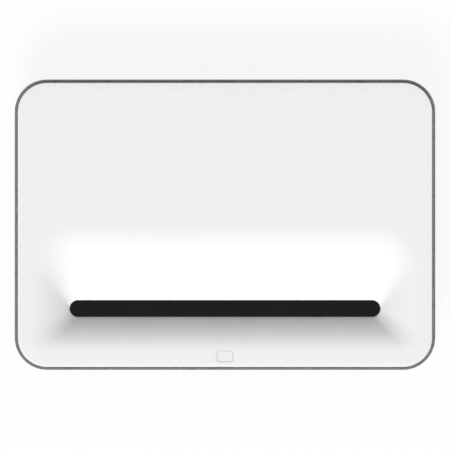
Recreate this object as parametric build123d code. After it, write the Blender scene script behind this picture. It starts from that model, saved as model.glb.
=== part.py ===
from build123d import *
import math
import os

# Ultra-short-throw laser projector with a built-in disc player.
# Millimetres. +Z up, +Y towards the wall that the picture falls on, -Y towards the viewer.
# The origin is on the table, under the middle of the body.

# ------------------------------------------------------------------ overall size
WIDTH = 533.0
DEPTH = 368.0
HEIGHT = 107.0
CORNER_RADIUS = 41.0
FOOT_GAP = 8.0

# ------------------------------------------------------------------ general clearances
FIT_GAP = 0.3
SHAFT_GAP = 0.06
MOVE_GAP = 0.5

# ------------------------------------------------------------------ shell
FABRIC = 0.8
FABRIC_EDGE = 2.4
FRAME_WALL = 2.4
SHELF_REACH = 4.8
SHELF_THICKNESS = 2.4
WINDOW_WIDTH = 26.0
WINDOW_RIB = 7.0
WINDOW_ROWS = ((27.0, 56.0), (62.0, 91.0))
RIM_SHOWN = 3.9
COVER_WALL = 2.6
COVER_SIDE = 4.6
COVER_EDGE = 2.4
BASE_WALL = 2.5
BASE_INSET = 2.0
BASE_CHAMFER = 1.6
BASE_RIM = 12.0
VENT_SIZE = (4.0, 44.0)
VENT_PITCH = 9.0
VENT_COUNT = 9
VENT_BANK_X = 150.0
VENT_BANK_GAPS = (18.0, 35.0, 48.0)

# ------------------------------------------------------------------ light scoop and its slot
SLOT_LENGTH = 394.6
SLOT_WIDTH = 21.3
SLOT_FROM_FRONT = 77.6
SCOOP_DEPTH = 26.0
SCOOP_FRONT = 42.0
SCOOP_REAR = 94.0
SCOOP_SIDE = 51.0
SCOOP_CORNER = 60.0
SCOOP_POWER = 2.2
SCOOP_REAR_POWER = 1.75
SCOOP_LEVELS = (1.0, 0.8, 0.58, 0.38, 0.2, 0.08, 0.02)
SCOOP_OVERRUN = 1.04
SCOOP_LIFT = 0.4
GLASS_SINK = 0.8
GLASS_FLANGE = 3.0
GLASS_THICKNESS = 2.0
SHROUD_DEPTH = 8.0
SHROUD_MARGIN = 3.0
SHROUD_EAR = 12.0

# ------------------------------------------------------------------ screws
SCREW_RADIUS = 1.5
SCREW_HEAD = 3.0
SCREW_HEAD_HEIGHT = 2.0
BOSS_RADIUS = 4.5
BOSS_INSET = (26.5, 28.0)
BOSS_SPLIT = 60.0
SCREW_BITE = 12.0

# ------------------------------------------------------------------ power button
BUTTON_SIZE = (19.7, 13.4)
BUTTON_CORNER = 3.2
BUTTON_FROM_FRONT = 17.4
BUTTON_TRAVEL = 0.8
BUTTON_FLANGE = 1.6
BUTTON_STEM = 2.0
BUTTON_BOARD_DEPTH = 15.0
BUTTON_BOARD_Z = 92.0
SWITCH_BODY = (6.0, 6.0, 3.5)
SWITCH_PLUNGER = (1.7, 0.9)
BUTTON_POST_RADIUS = 2.2
BUTTON_POST_GAP = 0.45

# ------------------------------------------------------------------ feet
FOOT_FROM_SIDE = 44.5
FOOT_FROM_FRONT = 79.0
FOOT_FROM_REAR = 44.0
FOOT_RADIUS = 13.0
FOOT_PAD = 3.6
FOOT_WHEEL = 3.4
FOOT_STEM = 4.0
FOOT_STEM_RISE = 22.0
FOOT_BOSS = 8.0
FOOT_BALL = 3.0

# ------------------------------------------------------------------ ceiling-mount holes
MOUNT_SPACING = (180.0, 260.0)
MOUNT_CENTRE_Y = 15.0
MOUNT_HOLE = 2.05
MOUNT_BOSS = 6.0
MOUNT_DEPTH = 16.0

# ------------------------------------------------------------------ lens and light engine
LENS_Z = 43.0
LENS_FRONT_LENGTH = 28.0
LENS_MID_LENGTH = 56.0
LENS_FLANGE = 3.0
LENS_FRONT_RADIUS = 27.0
LENS_MID_RADIUS = 22.0
LENS_TAIL_RADIUS = 14.0
LENS_TAIL_BORE = 12.0
LENS_TAIL = 10.0
LENS_BORE = 17.0
LENS_GLASS_RADIUS = 24.0
LENS_GLASS = 6.0
LENS_DOME = 60.0
FOCUS_RING_RADIUS = 25.5
FOCUS_TEETH = 70
PINION_TEETH = 14
FOCUS_MODULE = 0.8
FOCUS_GEAR_SETBACK = 32.0
FOCUS_GEAR_WIDTH = 6.0
FOCUS_MOTOR_RADIUS = 6.0
FOCUS_MOTOR_LENGTH = 16.0
FOCUS_SHAFT = 1.0
ENGINE_WIDTH = 96.0
ENGINE_DEPTH = 76.0
ENGINE_LEAD = 41.0
ENGINE_GAP = 16.0
ENGINE_TOP = 57.0
ENGINE_HIGH = 60.6
ENGINE_WALL = 3.0
INNER_FLOOR = 14.0
LIGHT_PIPE = 12.0
DMD_BOARD = (70.0, 40.0)
DMD_SINK_DEPTH = 20.0
DMD_CHIP = (22.0, 14.0)

# ------------------------------------------------------------------ mirror
MIRROR_WIDTH = 160.0
MIRROR_FROM_FRONT = 14.0
MIRROR_THICKNESS = 32.0
MIRROR_LOW = 24.0
MIRROR_HIGH = 74.0
MIRROR_CURVE = 180.0
MIRROR_TILT = 18.0
MIRROR_DISH = 12.0
BRACKET_WALL = 3.2

# ------------------------------------------------------------------ laser source and cooling
LASER_WIDTH = 98.0
LASER_DEPTH = 56.0
LASER_GAP = 4.0
LASER_WALL = 3.0
WHEEL_RADIUS = 17.5
WHEEL_THICKNESS = 1.2
WHEEL_HUB = 6.0
WHEEL_SETBACK = 36.0
WHEEL_SHAFT = 1.5
WHEEL_MOTOR = (9.0, 14.0)
LASER_BANK = (10.0, 36.0, 26.0)
SINK_DEPTH = 100.0
SINK_FAN_GAP = 9.0
SINK_HEIGHT = 70.0
SINK_BASE = 5.0
SINK_FIN = 1.0
SINK_PITCH = 4.0
PIPE_RADIUS = 3.0
PIPE_SPREAD = 15.0
COLD_PLATE = (12.0, 50.0)
FAN_SIZE = 70.0
FAN_THICKNESS = 15.0
FAN_BORE = 33.0
FAN_BLADE_RADIUS = 31.5
FAN_HUB = 14.0
FAN_BLADES = 7
FAN_BLADE = 1.4
FAN_PITCH_DEG = 38.0
FAN_SHAFT = 2.0
FAN_WALL_GAP = 4.5
FAN_BOSS_GAP = 4.5
FAN_GAP = 4.0
FAN_DRIVE_GAP = 3.0

# ------------------------------------------------------------------ boards and sockets
BOARD = 1.6
MAIN_BOARD_REACH = (70.0, 120.0)
MAIN_BOARD_DEPTH = 91.0
MAIN_BOARD_SETBACK = 3.0
MAIN_BOARD_Z = 61.0
MAIN_POST_INSETS = (8.0, 17.0)
# Chips on the main board: limits in X and Y from the board's corner, and height.
MAIN_CHIPS = (
    (30.0, 62.0, 16.0, 48.0, 3.0),
    (74.0, 90.0, 8.0, 24.0, 1.6),
    (74.0, 90.0, 28.0, 44.0, 1.6),
    (110.0, 130.0, 12.0, 26.0, 1.4),
    (142.0, 180.0, 8.0, 20.0, 2.0),
    (8.0, 20.0, 8.0, 20.0, 6.0),
)
MAIN_CAPACITORS = ((100.0, 38.0), (140.0, 38.0), (152.0, 38.0), (164.0, 38.0), (176.0, 38.0))
MAIN_CAPACITOR = (3.2, 9.0)
POST_RADIUS = 3.2
POST_LASER_GAP = 7.0
PANEL_MARGIN = (24.0, 26.0)
PANEL_Z = (50.0, 84.0)
PANEL_RECESS = 6.0
PANEL_WALL = 2.0
SOCKET_DEPTH = 14.0
SOCKET_WALL = 0.8
SOCKET_TONGUE = 1.4
# Sockets: place in X from the middle of the engine, width and height.
ETHERNET = (-24.0, 16.0, 13.4)
OPTICAL = (-62.0, 9.6, 9.6)
AUDIO_PLACE = -44.0
AUDIO_RADIUS = 3.6
AUDIO_BORE = 1.8
USB = ((0.0, 14.4, 7.0), (20.0, 14.4, 7.0))
HDMI = ((46.0, 15.4, 6.0), (68.0, 15.4, 6.0), (90.0, 15.4, 6.0))
INLET_SIZE = (27.6, 19.8)
INLET_FROM_SIDE = 108.5
INLET_Z = 57.0
INLET_WALL = 2.0
SUPPLY_SIZE = (90.0, 94.0)
SUPPLY_FROM_SIDE = 71.5
SUPPLY_GAP = 18.0
SUPPLY_STANDOFF = 5.0
# Parts on the power supply: limits in X and Y from the board's corner, and height.
SUPPLY_BLOCKS = (
    (30.0, 62.0, 32.0, 60.0, 26.0),
    (36.0, 56.0, 28.0, 64.0, 20.0),
    (70.0, 74.0, 14.0, 84.0, 28.0),
    (10.0, 28.0, 70.0, 90.0, 14.0),
    (46.0, 62.0, 72.0, 88.0, 12.0),
)
# Capacitors on the power supply: place from the board's corner, radius and height.
SUPPLY_CAPACITORS = (
    (15.0, 18.0, 9.0, 30.0),
    (15.0, 42.0, 9.0, 30.0),
    (82.0, 20.0, 4.0, 18.0),
    (82.0, 34.0, 4.0, 18.0),
    (82.0, 48.0, 4.0, 18.0),
)

# ------------------------------------------------------------------ speakers
SPEAKER_FROM_SIDE = 40.5
SPEAKER_WIDTH = 108.0
SPEAKER_DEPTH = 46.0
SPEAKER_TOP = 76.0
SPEAKER_WALL = 2.5
SPEAKER_FRONT_GAP = 6.0
WOOFER_RADIUS = 27.0
WOOFER_RIM = 3.0
WOOFER_RIM_THICKNESS = 2.0
WOOFER_SEAT = 2.0
WOOFER_INSET = 34.0
WOOFER_DEPTH = 26.0
BASKET_ARM = (5.0, 2.7, 4.0)
MAGNET = (16.0, 10.0)
COIL_RADIUS = 7.0
CONE_WALL = 0.8
CONE_DEPTH = 10.0
TWEETER_RADIUS = 11.0
TWEETER_INSET = 22.0
TWEETER_RIM = 3.0
TWEETER_DEPTH = 12.0

# ------------------------------------------------------------------ disc drive
DRIVE_FROM_REAR = 139.0
DRIVE_LENGTH = 188.0
DRIVE_WIDTH = 150.0
DRIVE_TOP = 52.0
DRIVE_WALL = 2.0
DRIVE_FLOOR = 1.6
DRIVE_MOUTH_GAP = 14.5
TRAY_WIDTH = 140.0
TRAY_Z = 36.0
TRAY_THICKNESS = 5.0
TRAY_REAR_CLEAR = 20.0
TRAY_TRAVEL = 142.0
DISC_RADIUS = 60.0
DISC_WELL = 2.6
DISC_MARGIN = 24.0
DISC_EDGE_GAP = 1.0
SPINDLE_SLOT = 40.0
TRAY_FACE = (150.0, 16.0, 4.0)
TRIM_WALL = 5.0
TRIM_DEPTH = 7.0
EJECT_SIZE = (12.0, 6.0)
EJECT_TRAVEL = 0.6
EJECT_STEM = 1.5
DECK_Z = 22.0
DECK_THICKNESS = 3.0
DECK_WIDTH = 66.0
DECK_PIVOT = 2.0
SPINDLE_MOTOR_RADIUS = 11.0
TURNTABLE_RADIUS = 15.0
TURNTABLE_THICKNESS = 3.0
TURNTABLE_HUB = 7.3
TURNTABLE_SEAT = 39.4
SPINDLE_SHAFT = 1.5
PICKUP_SIZE = (26.0, 46.0, 7.0)
PICKUP_Z = 27.0
PICKUP_TRAVEL = 34.0
PICKUP_LENS = 4.5
ROD_RADIUS = 1.5
ROD_SPREAD = 18.0
LEADSCREW_RADIUS = 1.6
LEADSCREW_OFFSET = 27.0
CLAMP_RADIUS = 15.0
CLAMP_HUB = 12.0
CLAMP_LOW = 43.0
BRIDGE_WIDTH = 40.0
BRIDGE_THICKNESS = 2.0
GEAR_MODULE = 1.0
RACK_GEAR_TEETH = 16
LARGE_GEAR_TEETH = 28
SMALL_GEAR_TEETH = 12
PULLEY_RADIUS = 13.0
MOTOR_PULLEY_RADIUS = 4.0
BELT = 1.2
BELT_GAP = 0.15
GEAR_PIN = 1.5
RACK_Y = 52.0
RACK_DROP = 5.0
RACK_BACK = 3.0
PULLEY_BEARING = 205.0
PULLEY_THICKNESS = 3.6
LARGE_GEAR_THICKNESS = 5.0
MOTOR_OFFSET = (-29.0, 7.0)
MOTOR_SHELF = 9.0
LOADING_MOTOR_RADIUS = 7.5
LOADING_MOTOR_HEIGHT = 12.0
LOADING_SHAFT = 1.0
SHELF = 1.6

PRESSURE_ANGLE = math.radians(20.0)
BACKLASH = 0.16

# ------------------------------------------------------------------ planes that follow from the sizes
FLOOR_TOP = FOOT_GAP + BASE_WALL
FRAME_TOP = HEIGHT - COVER_SIDE
FRAME_INSET = FABRIC + FRAME_WALL
RIM_INSET = FRAME_INSET + FIT_GAP
INNER_INSET = RIM_INSET + BASE_WALL
CEILING = HEIGHT - COVER_WALL
SCOOP_FLOOR = HEIGHT - SCOOP_DEPTH
BOSS_X = WIDTH / 2 - BOSS_INSET[0]
BOSS_Y = DEPTH / 2 - BOSS_INSET[1]
FOOT_X = WIDTH / 2 - FOOT_FROM_SIDE
FOOT_FRONT_Y = FOOT_FROM_FRONT - DEPTH / 2
FOOT_REAR_Y = DEPTH / 2 - FOOT_FROM_REAR

SLOT_Y = SLOT_FROM_FRONT - DEPTH / 2
SLOT_FRONT = SLOT_Y - SLOT_WIDTH / 2
SLOT_REAR = SLOT_Y + SLOT_WIDTH / 2
BUTTON_Y = BUTTON_FROM_FRONT - DEPTH / 2
BUTTON_POST_X = BUTTON_SIZE[0] / 2 + BUTTON_POST_GAP + BUTTON_POST_RADIUS
MIRROR_BACK_Y = MIRROR_FROM_FRONT - DEPTH / 2

DRIVE_Y = DEPTH / 2 - DRIVE_FROM_REAR
DRIVE_FRONT = WIDTH / 2 - DRIVE_MOUTH_GAP
DRIVE_BACK = DRIVE_FRONT - DRIVE_LENGTH
DISC_X = DRIVE_BACK + TRAY_REAR_CLEAR + DISC_MARGIN + DISC_RADIUS + DISC_EDGE_GAP

EXHAUST_REAR_Y = BOSS_Y - BOSS_RADIUS - FAN_BOSS_GAP - FAN_SIZE / 2
EXHAUST_FRONT_Y = EXHAUST_REAR_Y - FAN_SIZE - FAN_GAP
EXHAUST_Y = (EXHAUST_FRONT_Y, EXHAUST_REAR_Y)
INTAKE_Y = DRIVE_Y - DRIVE_WIDTH / 2 - FAN_DRIVE_GAP - FAN_SIZE / 2

LASER_Y = (EXHAUST_FRONT_Y + EXHAUST_REAR_Y) / 2
LENS_X = DRIVE_BACK - ENGINE_GAP - ENGINE_WIDTH / 2
ENGINE_FRONT_Y = LASER_Y - ENGINE_LEAD
LENS_SHOULDER_Y = ENGINE_FRONT_Y - LENS_MID_LENGTH
LENS_FRONT_Y = LENS_SHOULDER_Y - LENS_FRONT_LENGTH
FOCUS_GEAR_Y = ENGINE_FRONT_Y - FOCUS_GEAR_SETBACK
WHEEL_X = LENS_X - ENGINE_WIDTH / 2 - LASER_GAP - WHEEL_SETBACK

SOCKET_FRONT = DEPTH / 2 - PANEL_RECESS
MAIN_BOARD_X = (LENS_X - MAIN_BOARD_REACH[0], LENS_X + MAIN_BOARD_REACH[1])
MAIN_BOARD_Y = (SOCKET_FRONT - MAIN_BOARD_SETBACK - MAIN_BOARD_DEPTH, SOCKET_FRONT - MAIN_BOARD_SETBACK)
MAIN_POSTS_X = (MAIN_BOARD_X[0] + MAIN_POST_INSETS[0], DRIVE_BACK - ENGINE_GAP / 2)
MAIN_POSTS_Y = (LASER_Y + LASER_DEPTH / 2 + POST_LASER_GAP, MAIN_BOARD_Y[1] - MAIN_POST_INSETS[1])
INLET = (INLET_FROM_SIDE - WIDTH / 2, INLET_SIZE[0], INLET_SIZE[1])
AUDIO_X = LENS_X + AUDIO_PLACE
PANEL_X = (INLET[0] - PANEL_MARGIN[0], LENS_X + HDMI[-1][0] + PANEL_MARGIN[1])

SPEAKER_X = (WIDTH / 2 - SPEAKER_FROM_SIDE - SPEAKER_WIDTH, WIDTH / 2 - SPEAKER_FROM_SIDE)
SPEAKER_FRONT = INNER_INSET + SPEAKER_FRONT_GAP - DEPTH / 2
SUPPLY_X = (SUPPLY_FROM_SIDE - WIDTH / 2, SUPPLY_FROM_SIDE - WIDTH / 2 + SUPPLY_SIZE[0])
SUPPLY_FRONT = SPEAKER_FRONT + SPEAKER_DEPTH + SUPPLY_GAP
SUPPLY_Y = (SUPPLY_FRONT, SUPPLY_FRONT + SUPPLY_SIZE[1])
VENT_BANKS = (
    (-VENT_BANK_X, LASER_Y - SINK_DEPTH / 2 - VENT_BANK_GAPS[0]),
    (0.0, LENS_FRONT_Y - VENT_BANK_GAPS[1]),
    (VENT_BANK_X, DRIVE_Y - DRIVE_WIDTH / 2 - VENT_BANK_GAPS[2]),
)

CHASSIS_FLOOR = INNER_FLOOR + DRIVE_FLOOR
PULLEY_Z = (CHASSIS_FLOOR + 1.2, CHASSIS_FLOOR + 1.2 + PULLEY_THICKNESS)
LARGE_GEAR_Z = (PULLEY_Z[1] + 1.1, PULLEY_Z[1] + 1.1 + LARGE_GEAR_THICKNESS)
RACK_GEAR_Z = (LARGE_GEAR_Z[1], TRAY_Z - MOVE_GAP)
RACK_Z = (TRAY_Z - RACK_DROP, TRAY_Z)


# ================================================================== helpers
def block(x, y, z):
    """Box between two limits on each axis."""
    return Pos(x[0], y[0], z[0]) * Box(x[1] - x[0], y[1] - y[0], z[1] - z[0], align=(Align.MIN,) * 3)


def pillar(x, y, radius, z):
    """Upright cylinder between two heights."""
    return Pos(x, y, z[0]) * Cylinder(radius, z[1] - z[0], align=(Align.CENTER, Align.CENTER, Align.MIN))


def rod_x(x, y, z, radius):
    """Cylinder along X between two limits."""
    return Pos(x[0], y, z) * Rot(0, 90, 0) * pillar(0, 0, radius, (0, x[1] - x[0]))


def rod_y(x, y, z, radius):
    """Cylinder along Y between two limits."""
    return Pos(x, y[0], z) * Rot(-90, 0, 0) * pillar(0, 0, radius, (0, y[1] - y[0]))


def plan(inset, z):
    """Solid with the rounded plan outline of the body, a distance inside the fabric."""
    outline = RectangleRounded(WIDTH - 2 * inset, DEPTH - 2 * inset, CORNER_RADIUS - inset)
    return Pos(0, 0, z[0]) * extrude(outline, z[1] - z[0])


def soften_top(solid, radius):
    """Rounds the highest edges of a solid."""
    return fillet(solid.edges().group_by(Axis.Z)[-1], radius)


def joined(parts):
    """Fuses a list of solids."""
    whole = parts[0]
    for part in parts[1:]:
        whole += part
    return whole


def group(parts):
    """Keeps solids apart in one node."""
    return Compound(children=[solid for part in parts for solid in part.solids()])


def involute(angle):
    return math.tan(angle) - angle


def gear_outline(teeth, module, turn=0.0):
    """Spur gear face with one tooth centred on the +X direction, turned by an angle in radians."""
    pitch = module * teeth / 2
    base = pitch * math.cos(PRESSURE_ANGLE)
    tip = pitch + 0.9 * module
    root = pitch - 1.2 * module
    half_at_pitch = math.pi / (2 * teeth) - BACKLASH / (2 * pitch)
    foot = max(root, base)
    flank = []
    for step in range(4):
        radius = foot + (tip - foot) * step / 3
        half = half_at_pitch + involute(PRESSURE_ANGLE) - involute(math.acos(min(1.0, base / radius)))
        flank.append((radius, half))
    if root < base:
        flank.insert(0, (root, flank[0][1]))
    points = []
    for tooth in range(teeth):
        middle = turn + 2 * math.pi * tooth / teeth
        for radius, half in flank:
            points.append((radius * math.cos(middle - half), radius * math.sin(middle - half)))
        for radius, half in reversed(flank):
            points.append((radius * math.cos(middle + half), radius * math.sin(middle + half)))
    return make_face(Polyline(*points, close=True))


def rack_outline(start, length, module, depth):
    """Rack face along +X with its pitch line on y = 0, teeth towards -Y and a backing bar towards +Y."""
    pitch = math.pi * module
    tip = 0.9 * module
    root = 1.2 * module
    half_at_pitch = pitch / 4 - BACKLASH / 2
    at_tip = half_at_pitch - tip * math.tan(PRESSURE_ANGLE)
    at_root = half_at_pitch + root * math.tan(PRESSURE_ANGLE)
    count = int(length / pitch)
    points = [(start - pitch / 2, root)]
    for tooth in range(count):
        middle = start + tooth * pitch
        points += [(middle - at_root, root), (middle - at_tip, -tip)]
        points += [(middle + at_tip, -tip), (middle + at_root, root)]
    end = start + (count - 0.5) * pitch
    points += [(end, root), (end, root + depth), (start - pitch / 2, root + depth)]
    return make_face(Polyline(*points, close=True))


# ================================================================== shell
def scoop_outline(share, rear_share, grow):
    """Rounded outline of the scoop: share 0 is the slot's edge and share 1 the outer rim."""
    front = SLOT_FRONT - SCOOP_FRONT * share - grow
    rear = SLOT_REAR + SCOOP_REAR * rear_share + grow
    width = SLOT_LENGTH + 2 * (SCOOP_SIDE * share + grow)
    slot_radius = SLOT_WIDTH / 2 * 0.98
    radius = slot_radius + (SCOOP_CORNER - slot_radius) * (share + rear_share) / 2 + grow
    return Pos(0, (front + rear) / 2, 0) * RectangleRounded(width, rear - front, min(radius, (rear - front) * 0.49))


def scoop_solid(grow, lower):
    """Dish between the slot and the cover's top, grown sideways and lowered for its underside."""
    sections = []
    for level in SCOOP_LEVELS:
        share = 1 - level ** (1 / SCOOP_POWER)
        rear_share = 1 - level ** (1 / SCOOP_REAR_POWER)
        height = HEIGHT - SCOOP_DEPTH * level
        sections.append(Pos(0, 0, height - lower) * scoop_outline(share, rear_share, grow))
    brim = scoop_outline(SCOOP_OVERRUN, SCOOP_OVERRUN, grow)
    sections.append(Pos(0, 0, HEIGHT + SCOOP_LIFT - lower) * brim)
    return loft(sections)


def slot_solid(grow, z):
    outline = Pos(0, SLOT_Y) * SlotOverall(SLOT_LENGTH + 2 * grow, SLOT_WIDTH + 2 * grow)
    return Pos(0, 0, z[0]) * extrude(outline, z[1] - z[0])


def boss_places():
    return [(x, y) for x in (-BOSS_X, BOSS_X) for y in (-BOSS_Y, BOSS_Y)]


def shroud_ears():
    return [side * (SLOT_LENGTH / 2 + SHROUD_EAR) for side in (-1, 1)]


def top_cover():
    outer = soften_top(plan(RIM_SHOWN, (FRAME_TOP, HEIGHT)), COVER_EDGE)
    inner = plan(RIM_SHOWN + COVER_WALL, (FRAME_TOP - 1, CEILING))
    cover = outer - inner
    cover += scoop_solid(COVER_WALL, COVER_WALL)
    for x, y in boss_places():
        cover += pillar(x, y, BOSS_RADIUS, (BOSS_SPLIT, CEILING + 1))
    for x in shroud_ears():
        cover += pillar(x, SLOT_Y, BOSS_RADIUS, (shroud_top(), CEILING))
    for side in (-1, 1):
        post_z = (BUTTON_BOARD_Z + BOARD, CEILING + 1)
        cover += pillar(side * BUTTON_POST_X, BUTTON_Y, BUTTON_POST_RADIUS, post_z)
    cover -= scoop_solid(0, 0)
    cover -= slot_solid(0, (SCOOP_FLOOR - 2 * COVER_WALL, SCOOP_FLOOR + 1))
    opening = RectangleRounded(BUTTON_SIZE[0] + 2 * FIT_GAP, BUTTON_SIZE[1] + 2 * FIT_GAP, BUTTON_CORNER + FIT_GAP)
    cover -= Pos(0, BUTTON_Y, CEILING - 1) * extrude(opening, COVER_WALL + 2)
    for x, y in boss_places():
        cover -= pillar(x, y, SCREW_RADIUS + SHAFT_GAP, (BOSS_SPLIT, BOSS_SPLIT + SCREW_BITE + 1))
    for x in shroud_ears():
        cover -= pillar(x, SLOT_Y, SCREW_RADIUS + SHAFT_GAP, (shroud_top(), shroud_top() + SCREW_BITE / 2))
    return cover


def glass_top():
    return SCOOP_FLOOR - GLASS_SINK


def flange_top():
    return SCOOP_FLOOR - COVER_WALL - FIT_GAP


def shroud_top():
    return flange_top() - GLASS_THICKNESS


def window_glass():
    plug = slot_solid(-FIT_GAP / 2, (flange_top() - 0.1, glass_top()))
    flange = slot_solid(GLASS_FLANGE, (shroud_top(), flange_top()))
    return plug + flange


def light_shroud():
    """Black frame that holds the glass up against the underside of the scoop."""
    low = shroud_top() - SHROUD_DEPTH
    frame = slot_solid(GLASS_FLANGE + SHROUD_MARGIN, (low, shroud_top()))
    for x in shroud_ears():
        ear_z = (shroud_top() - BASE_WALL, shroud_top())
        frame += pillar(x, SLOT_Y, BOSS_RADIUS, ear_z)
        ear_x = sorted((x, math.copysign(SLOT_LENGTH / 2, x)))
        frame += block(ear_x, (SLOT_Y - BOSS_RADIUS, SLOT_Y + BOSS_RADIUS), ear_z)
    frame -= slot_solid(0, (low - 1, shroud_top() + 1))
    for x in shroud_ears():
        frame -= pillar(x, SLOT_Y, SCREW_RADIUS + SHAFT_GAP, (low - 1, shroud_top() + 1))
    return frame


def frame_ring():
    outer = soften_top(plan(FABRIC, (FLOOR_TOP, FRAME_TOP)), FABRIC_EDGE - FABRIC)
    wall = outer - plan(FRAME_INSET, (FLOOR_TOP - 1, FRAME_TOP - SHELF_THICKNESS))
    return wall - plan(FRAME_INSET + SHELF_REACH, (FLOOR_TOP, FRAME_TOP + 1))


def windows(length, blocked):
    """Pairs of limits, along the wall and in height, of the windows that stay clear of what is blocked."""
    count = int(length / (WINDOW_WIDTH + WINDOW_RIB))
    cells = []
    for column in range(count):
        middle = (column - (count - 1) / 2) * (WINDOW_WIDTH + WINDOW_RIB)
        for low, high in WINDOW_ROWS:
            left, right = middle - WINDOW_WIDTH / 2, middle + WINDOW_WIDTH / 2
            clear = True
            for (x0, x1), (z0, z1) in blocked:
                beside = right < x0 - WINDOW_RIB or left > x1 + WINDOW_RIB
                above_or_below = high < z0 - WINDOW_RIB or low > z1 + WINDOW_RIB
                clear = clear and (beside or above_or_below)
            if clear:
                cells.append(((left, right), (low, high)))
    return cells


def trim_limits():
    """Outline of the trim round the disc tray, in Y and Z."""
    half = TRAY_FACE[0] / 2 + FIT_GAP + TRIM_WALL
    middle = TRAY_Z + TRAY_THICKNESS / 2
    eject = EJECT_SIZE[0] + TRIM_WALL
    return (DRIVE_Y - half, DRIVE_Y + half + eject), (middle - trim_half_height(), middle + trim_half_height())


def trim_half_height():
    return TRAY_FACE[1] / 2 + FIT_GAP + TRIM_WALL


def grille_frames():
    ring = frame_ring()
    straight_x = WIDTH / 2 - CORNER_RADIUS
    straight_y = DEPTH / 2 - CORNER_RADIUS
    depth = (-DEPTH, DEPTH)
    reach = (-WIDTH, WIDTH)
    tall = (0, HEIGHT)
    front = ring & block(reach, (-DEPTH, -straight_y), tall)
    rear = ring & block(reach, (straight_y, DEPTH), tall)
    left = ring & block((-WIDTH, 0), (-straight_y, straight_y), tall)
    right = ring & block((0, WIDTH), (-straight_y, straight_y), tall)
    cut_y = FRAME_INSET + 1
    front -= joined([block(x, (-DEPTH / 2, -DEPTH / 2 + cut_y), z) for x, z in windows(2 * straight_x, [])])
    rear_cells = windows(2 * straight_x, [(PANEL_X, PANEL_Z)])
    rear -= joined([block(x, (DEPTH / 2 - cut_y, DEPTH / 2), z) for x, z in rear_cells])
    rear -= block(PANEL_X, (DEPTH / 2 - cut_y, DEPTH / 2), PANEL_Z)
    left -= joined([block((-WIDTH / 2, -WIDTH / 2 + cut_y), y, z) for y, z in windows(2 * straight_y, [])])
    trim_y, trim_z = trim_limits()
    right_cells = windows(2 * straight_y, [(trim_y, trim_z)])
    right -= joined([block((WIDTH / 2 - cut_y, WIDTH / 2), y, z) for y, z in right_cells])
    right -= block((WIDTH / 2 - cut_y, WIDTH / 2), trim_y, trim_z)
    return {
        "grille_frame_front": front,
        "grille_frame_rear": rear,
        "grille_frame_left": left,
        "grille_frame_right": right,
    }


def fabric_wrap():
    low = FLOOR_TOP + FIT_GAP
    high = FRAME_TOP + FABRIC
    sleeve = soften_top(plan(0, (low, high)), FABRIC_EDGE)
    sleeve -= soften_top(plan(FABRIC, (low - 1, FRAME_TOP)), FABRIC_EDGE - FABRIC)
    sleeve -= plan(RIM_SHOWN - FIT_GAP, (low - 1, high + 1))
    sleeve -= block(PANEL_X, (DEPTH / 4, DEPTH), PANEL_Z)
    trim_y, trim_z = trim_limits()
    return sleeve - block((WIDTH / 4, WIDTH), trim_y, trim_z)


def mount_places():
    half_x, half_y = MOUNT_SPACING[0] / 2, MOUNT_SPACING[1] / 2
    return [(x, MOUNT_CENTRE_Y + y) for x in (-half_x, half_x) for y in (-half_y, half_y)]


def base_pan():
    pan = plan(BASE_INSET, (FOOT_GAP, FLOOR_TOP))
    pan = chamfer(pan.edges().group_by(Axis.Z)[0], BASE_CHAMFER)
    rim = plan(RIM_INSET, (FLOOR_TOP, FLOOR_TOP + BASE_RIM))
    pan += rim - plan(INNER_INSET, (FLOOR_TOP - 1, FLOOR_TOP + BASE_RIM + 1))
    for x, y in boss_places():
        pan += pillar(x, y, BOSS_RADIUS, (FLOOR_TOP, BOSS_SPLIT))
    for x in (-FOOT_X, FOOT_X):
        pan += pillar(x, FOOT_FRONT_Y, FOOT_BOSS, (FLOOR_TOP, FOOT_GAP + FOOT_STEM_RISE + FIT_GAP))
        pan += pillar(x, FOOT_REAR_Y, BOSS_RADIUS, (FLOOR_TOP, FLOOR_TOP + BOSS_RADIUS))
    for x, y in mount_places():
        pan += pillar(x, y, MOUNT_BOSS, (FLOOR_TOP, FOOT_GAP + MOUNT_DEPTH + BASE_WALL))
    for x in MAIN_POSTS_X:
        for y in MAIN_POSTS_Y:
            pan += pillar(x, y, POST_RADIUS, (FLOOR_TOP, MAIN_BOARD_Z))
    for x in SUPPLY_X:
        for y in SUPPLY_Y:
            pan += supply_post(x, y)
    for x in (DRIVE_BACK, DRIVE_FRONT):
        for side in (-1, 1):
            pan += drive_post(x, side)
    pan += engine_seats()
    pan += cooling_seats()
    for x in (-FOOT_X, FOOT_X):
        pan -= pillar(x, FOOT_FRONT_Y, FOOT_STEM + SHAFT_GAP, (0, HEIGHT / 2))
        pan -= pillar(x, FOOT_REAR_Y, SCREW_RADIUS + SHAFT_GAP, (0, FLOOR_TOP + BOSS_RADIUS - 1))
    for x, y in mount_places():
        pan -= pillar(x, y, MOUNT_HOLE, (0, FOOT_GAP + MOUNT_DEPTH))
    for x, y in boss_places():
        pan -= pillar(x, y, SCREW_RADIUS + SHAFT_GAP, (0, BOSS_SPLIT + 1))
        pan -= pillar(x, y, SCREW_HEAD + FIT_GAP, (0, FLOOR_TOP + SCREW_HEAD_HEIGHT))
    return pan - vent_slots()


def supply_post(x, y):
    inward_x = math.copysign(POST_RADIUS + 1, sum(SUPPLY_X) / 2 - x)
    inward_y = math.copysign(POST_RADIUS + 1, sum(SUPPLY_Y) / 2 - y)
    return pillar(x + inward_x, y + inward_y, POST_RADIUS, (FLOOR_TOP, FLOOR_TOP + SUPPLY_STANDOFF))


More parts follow.
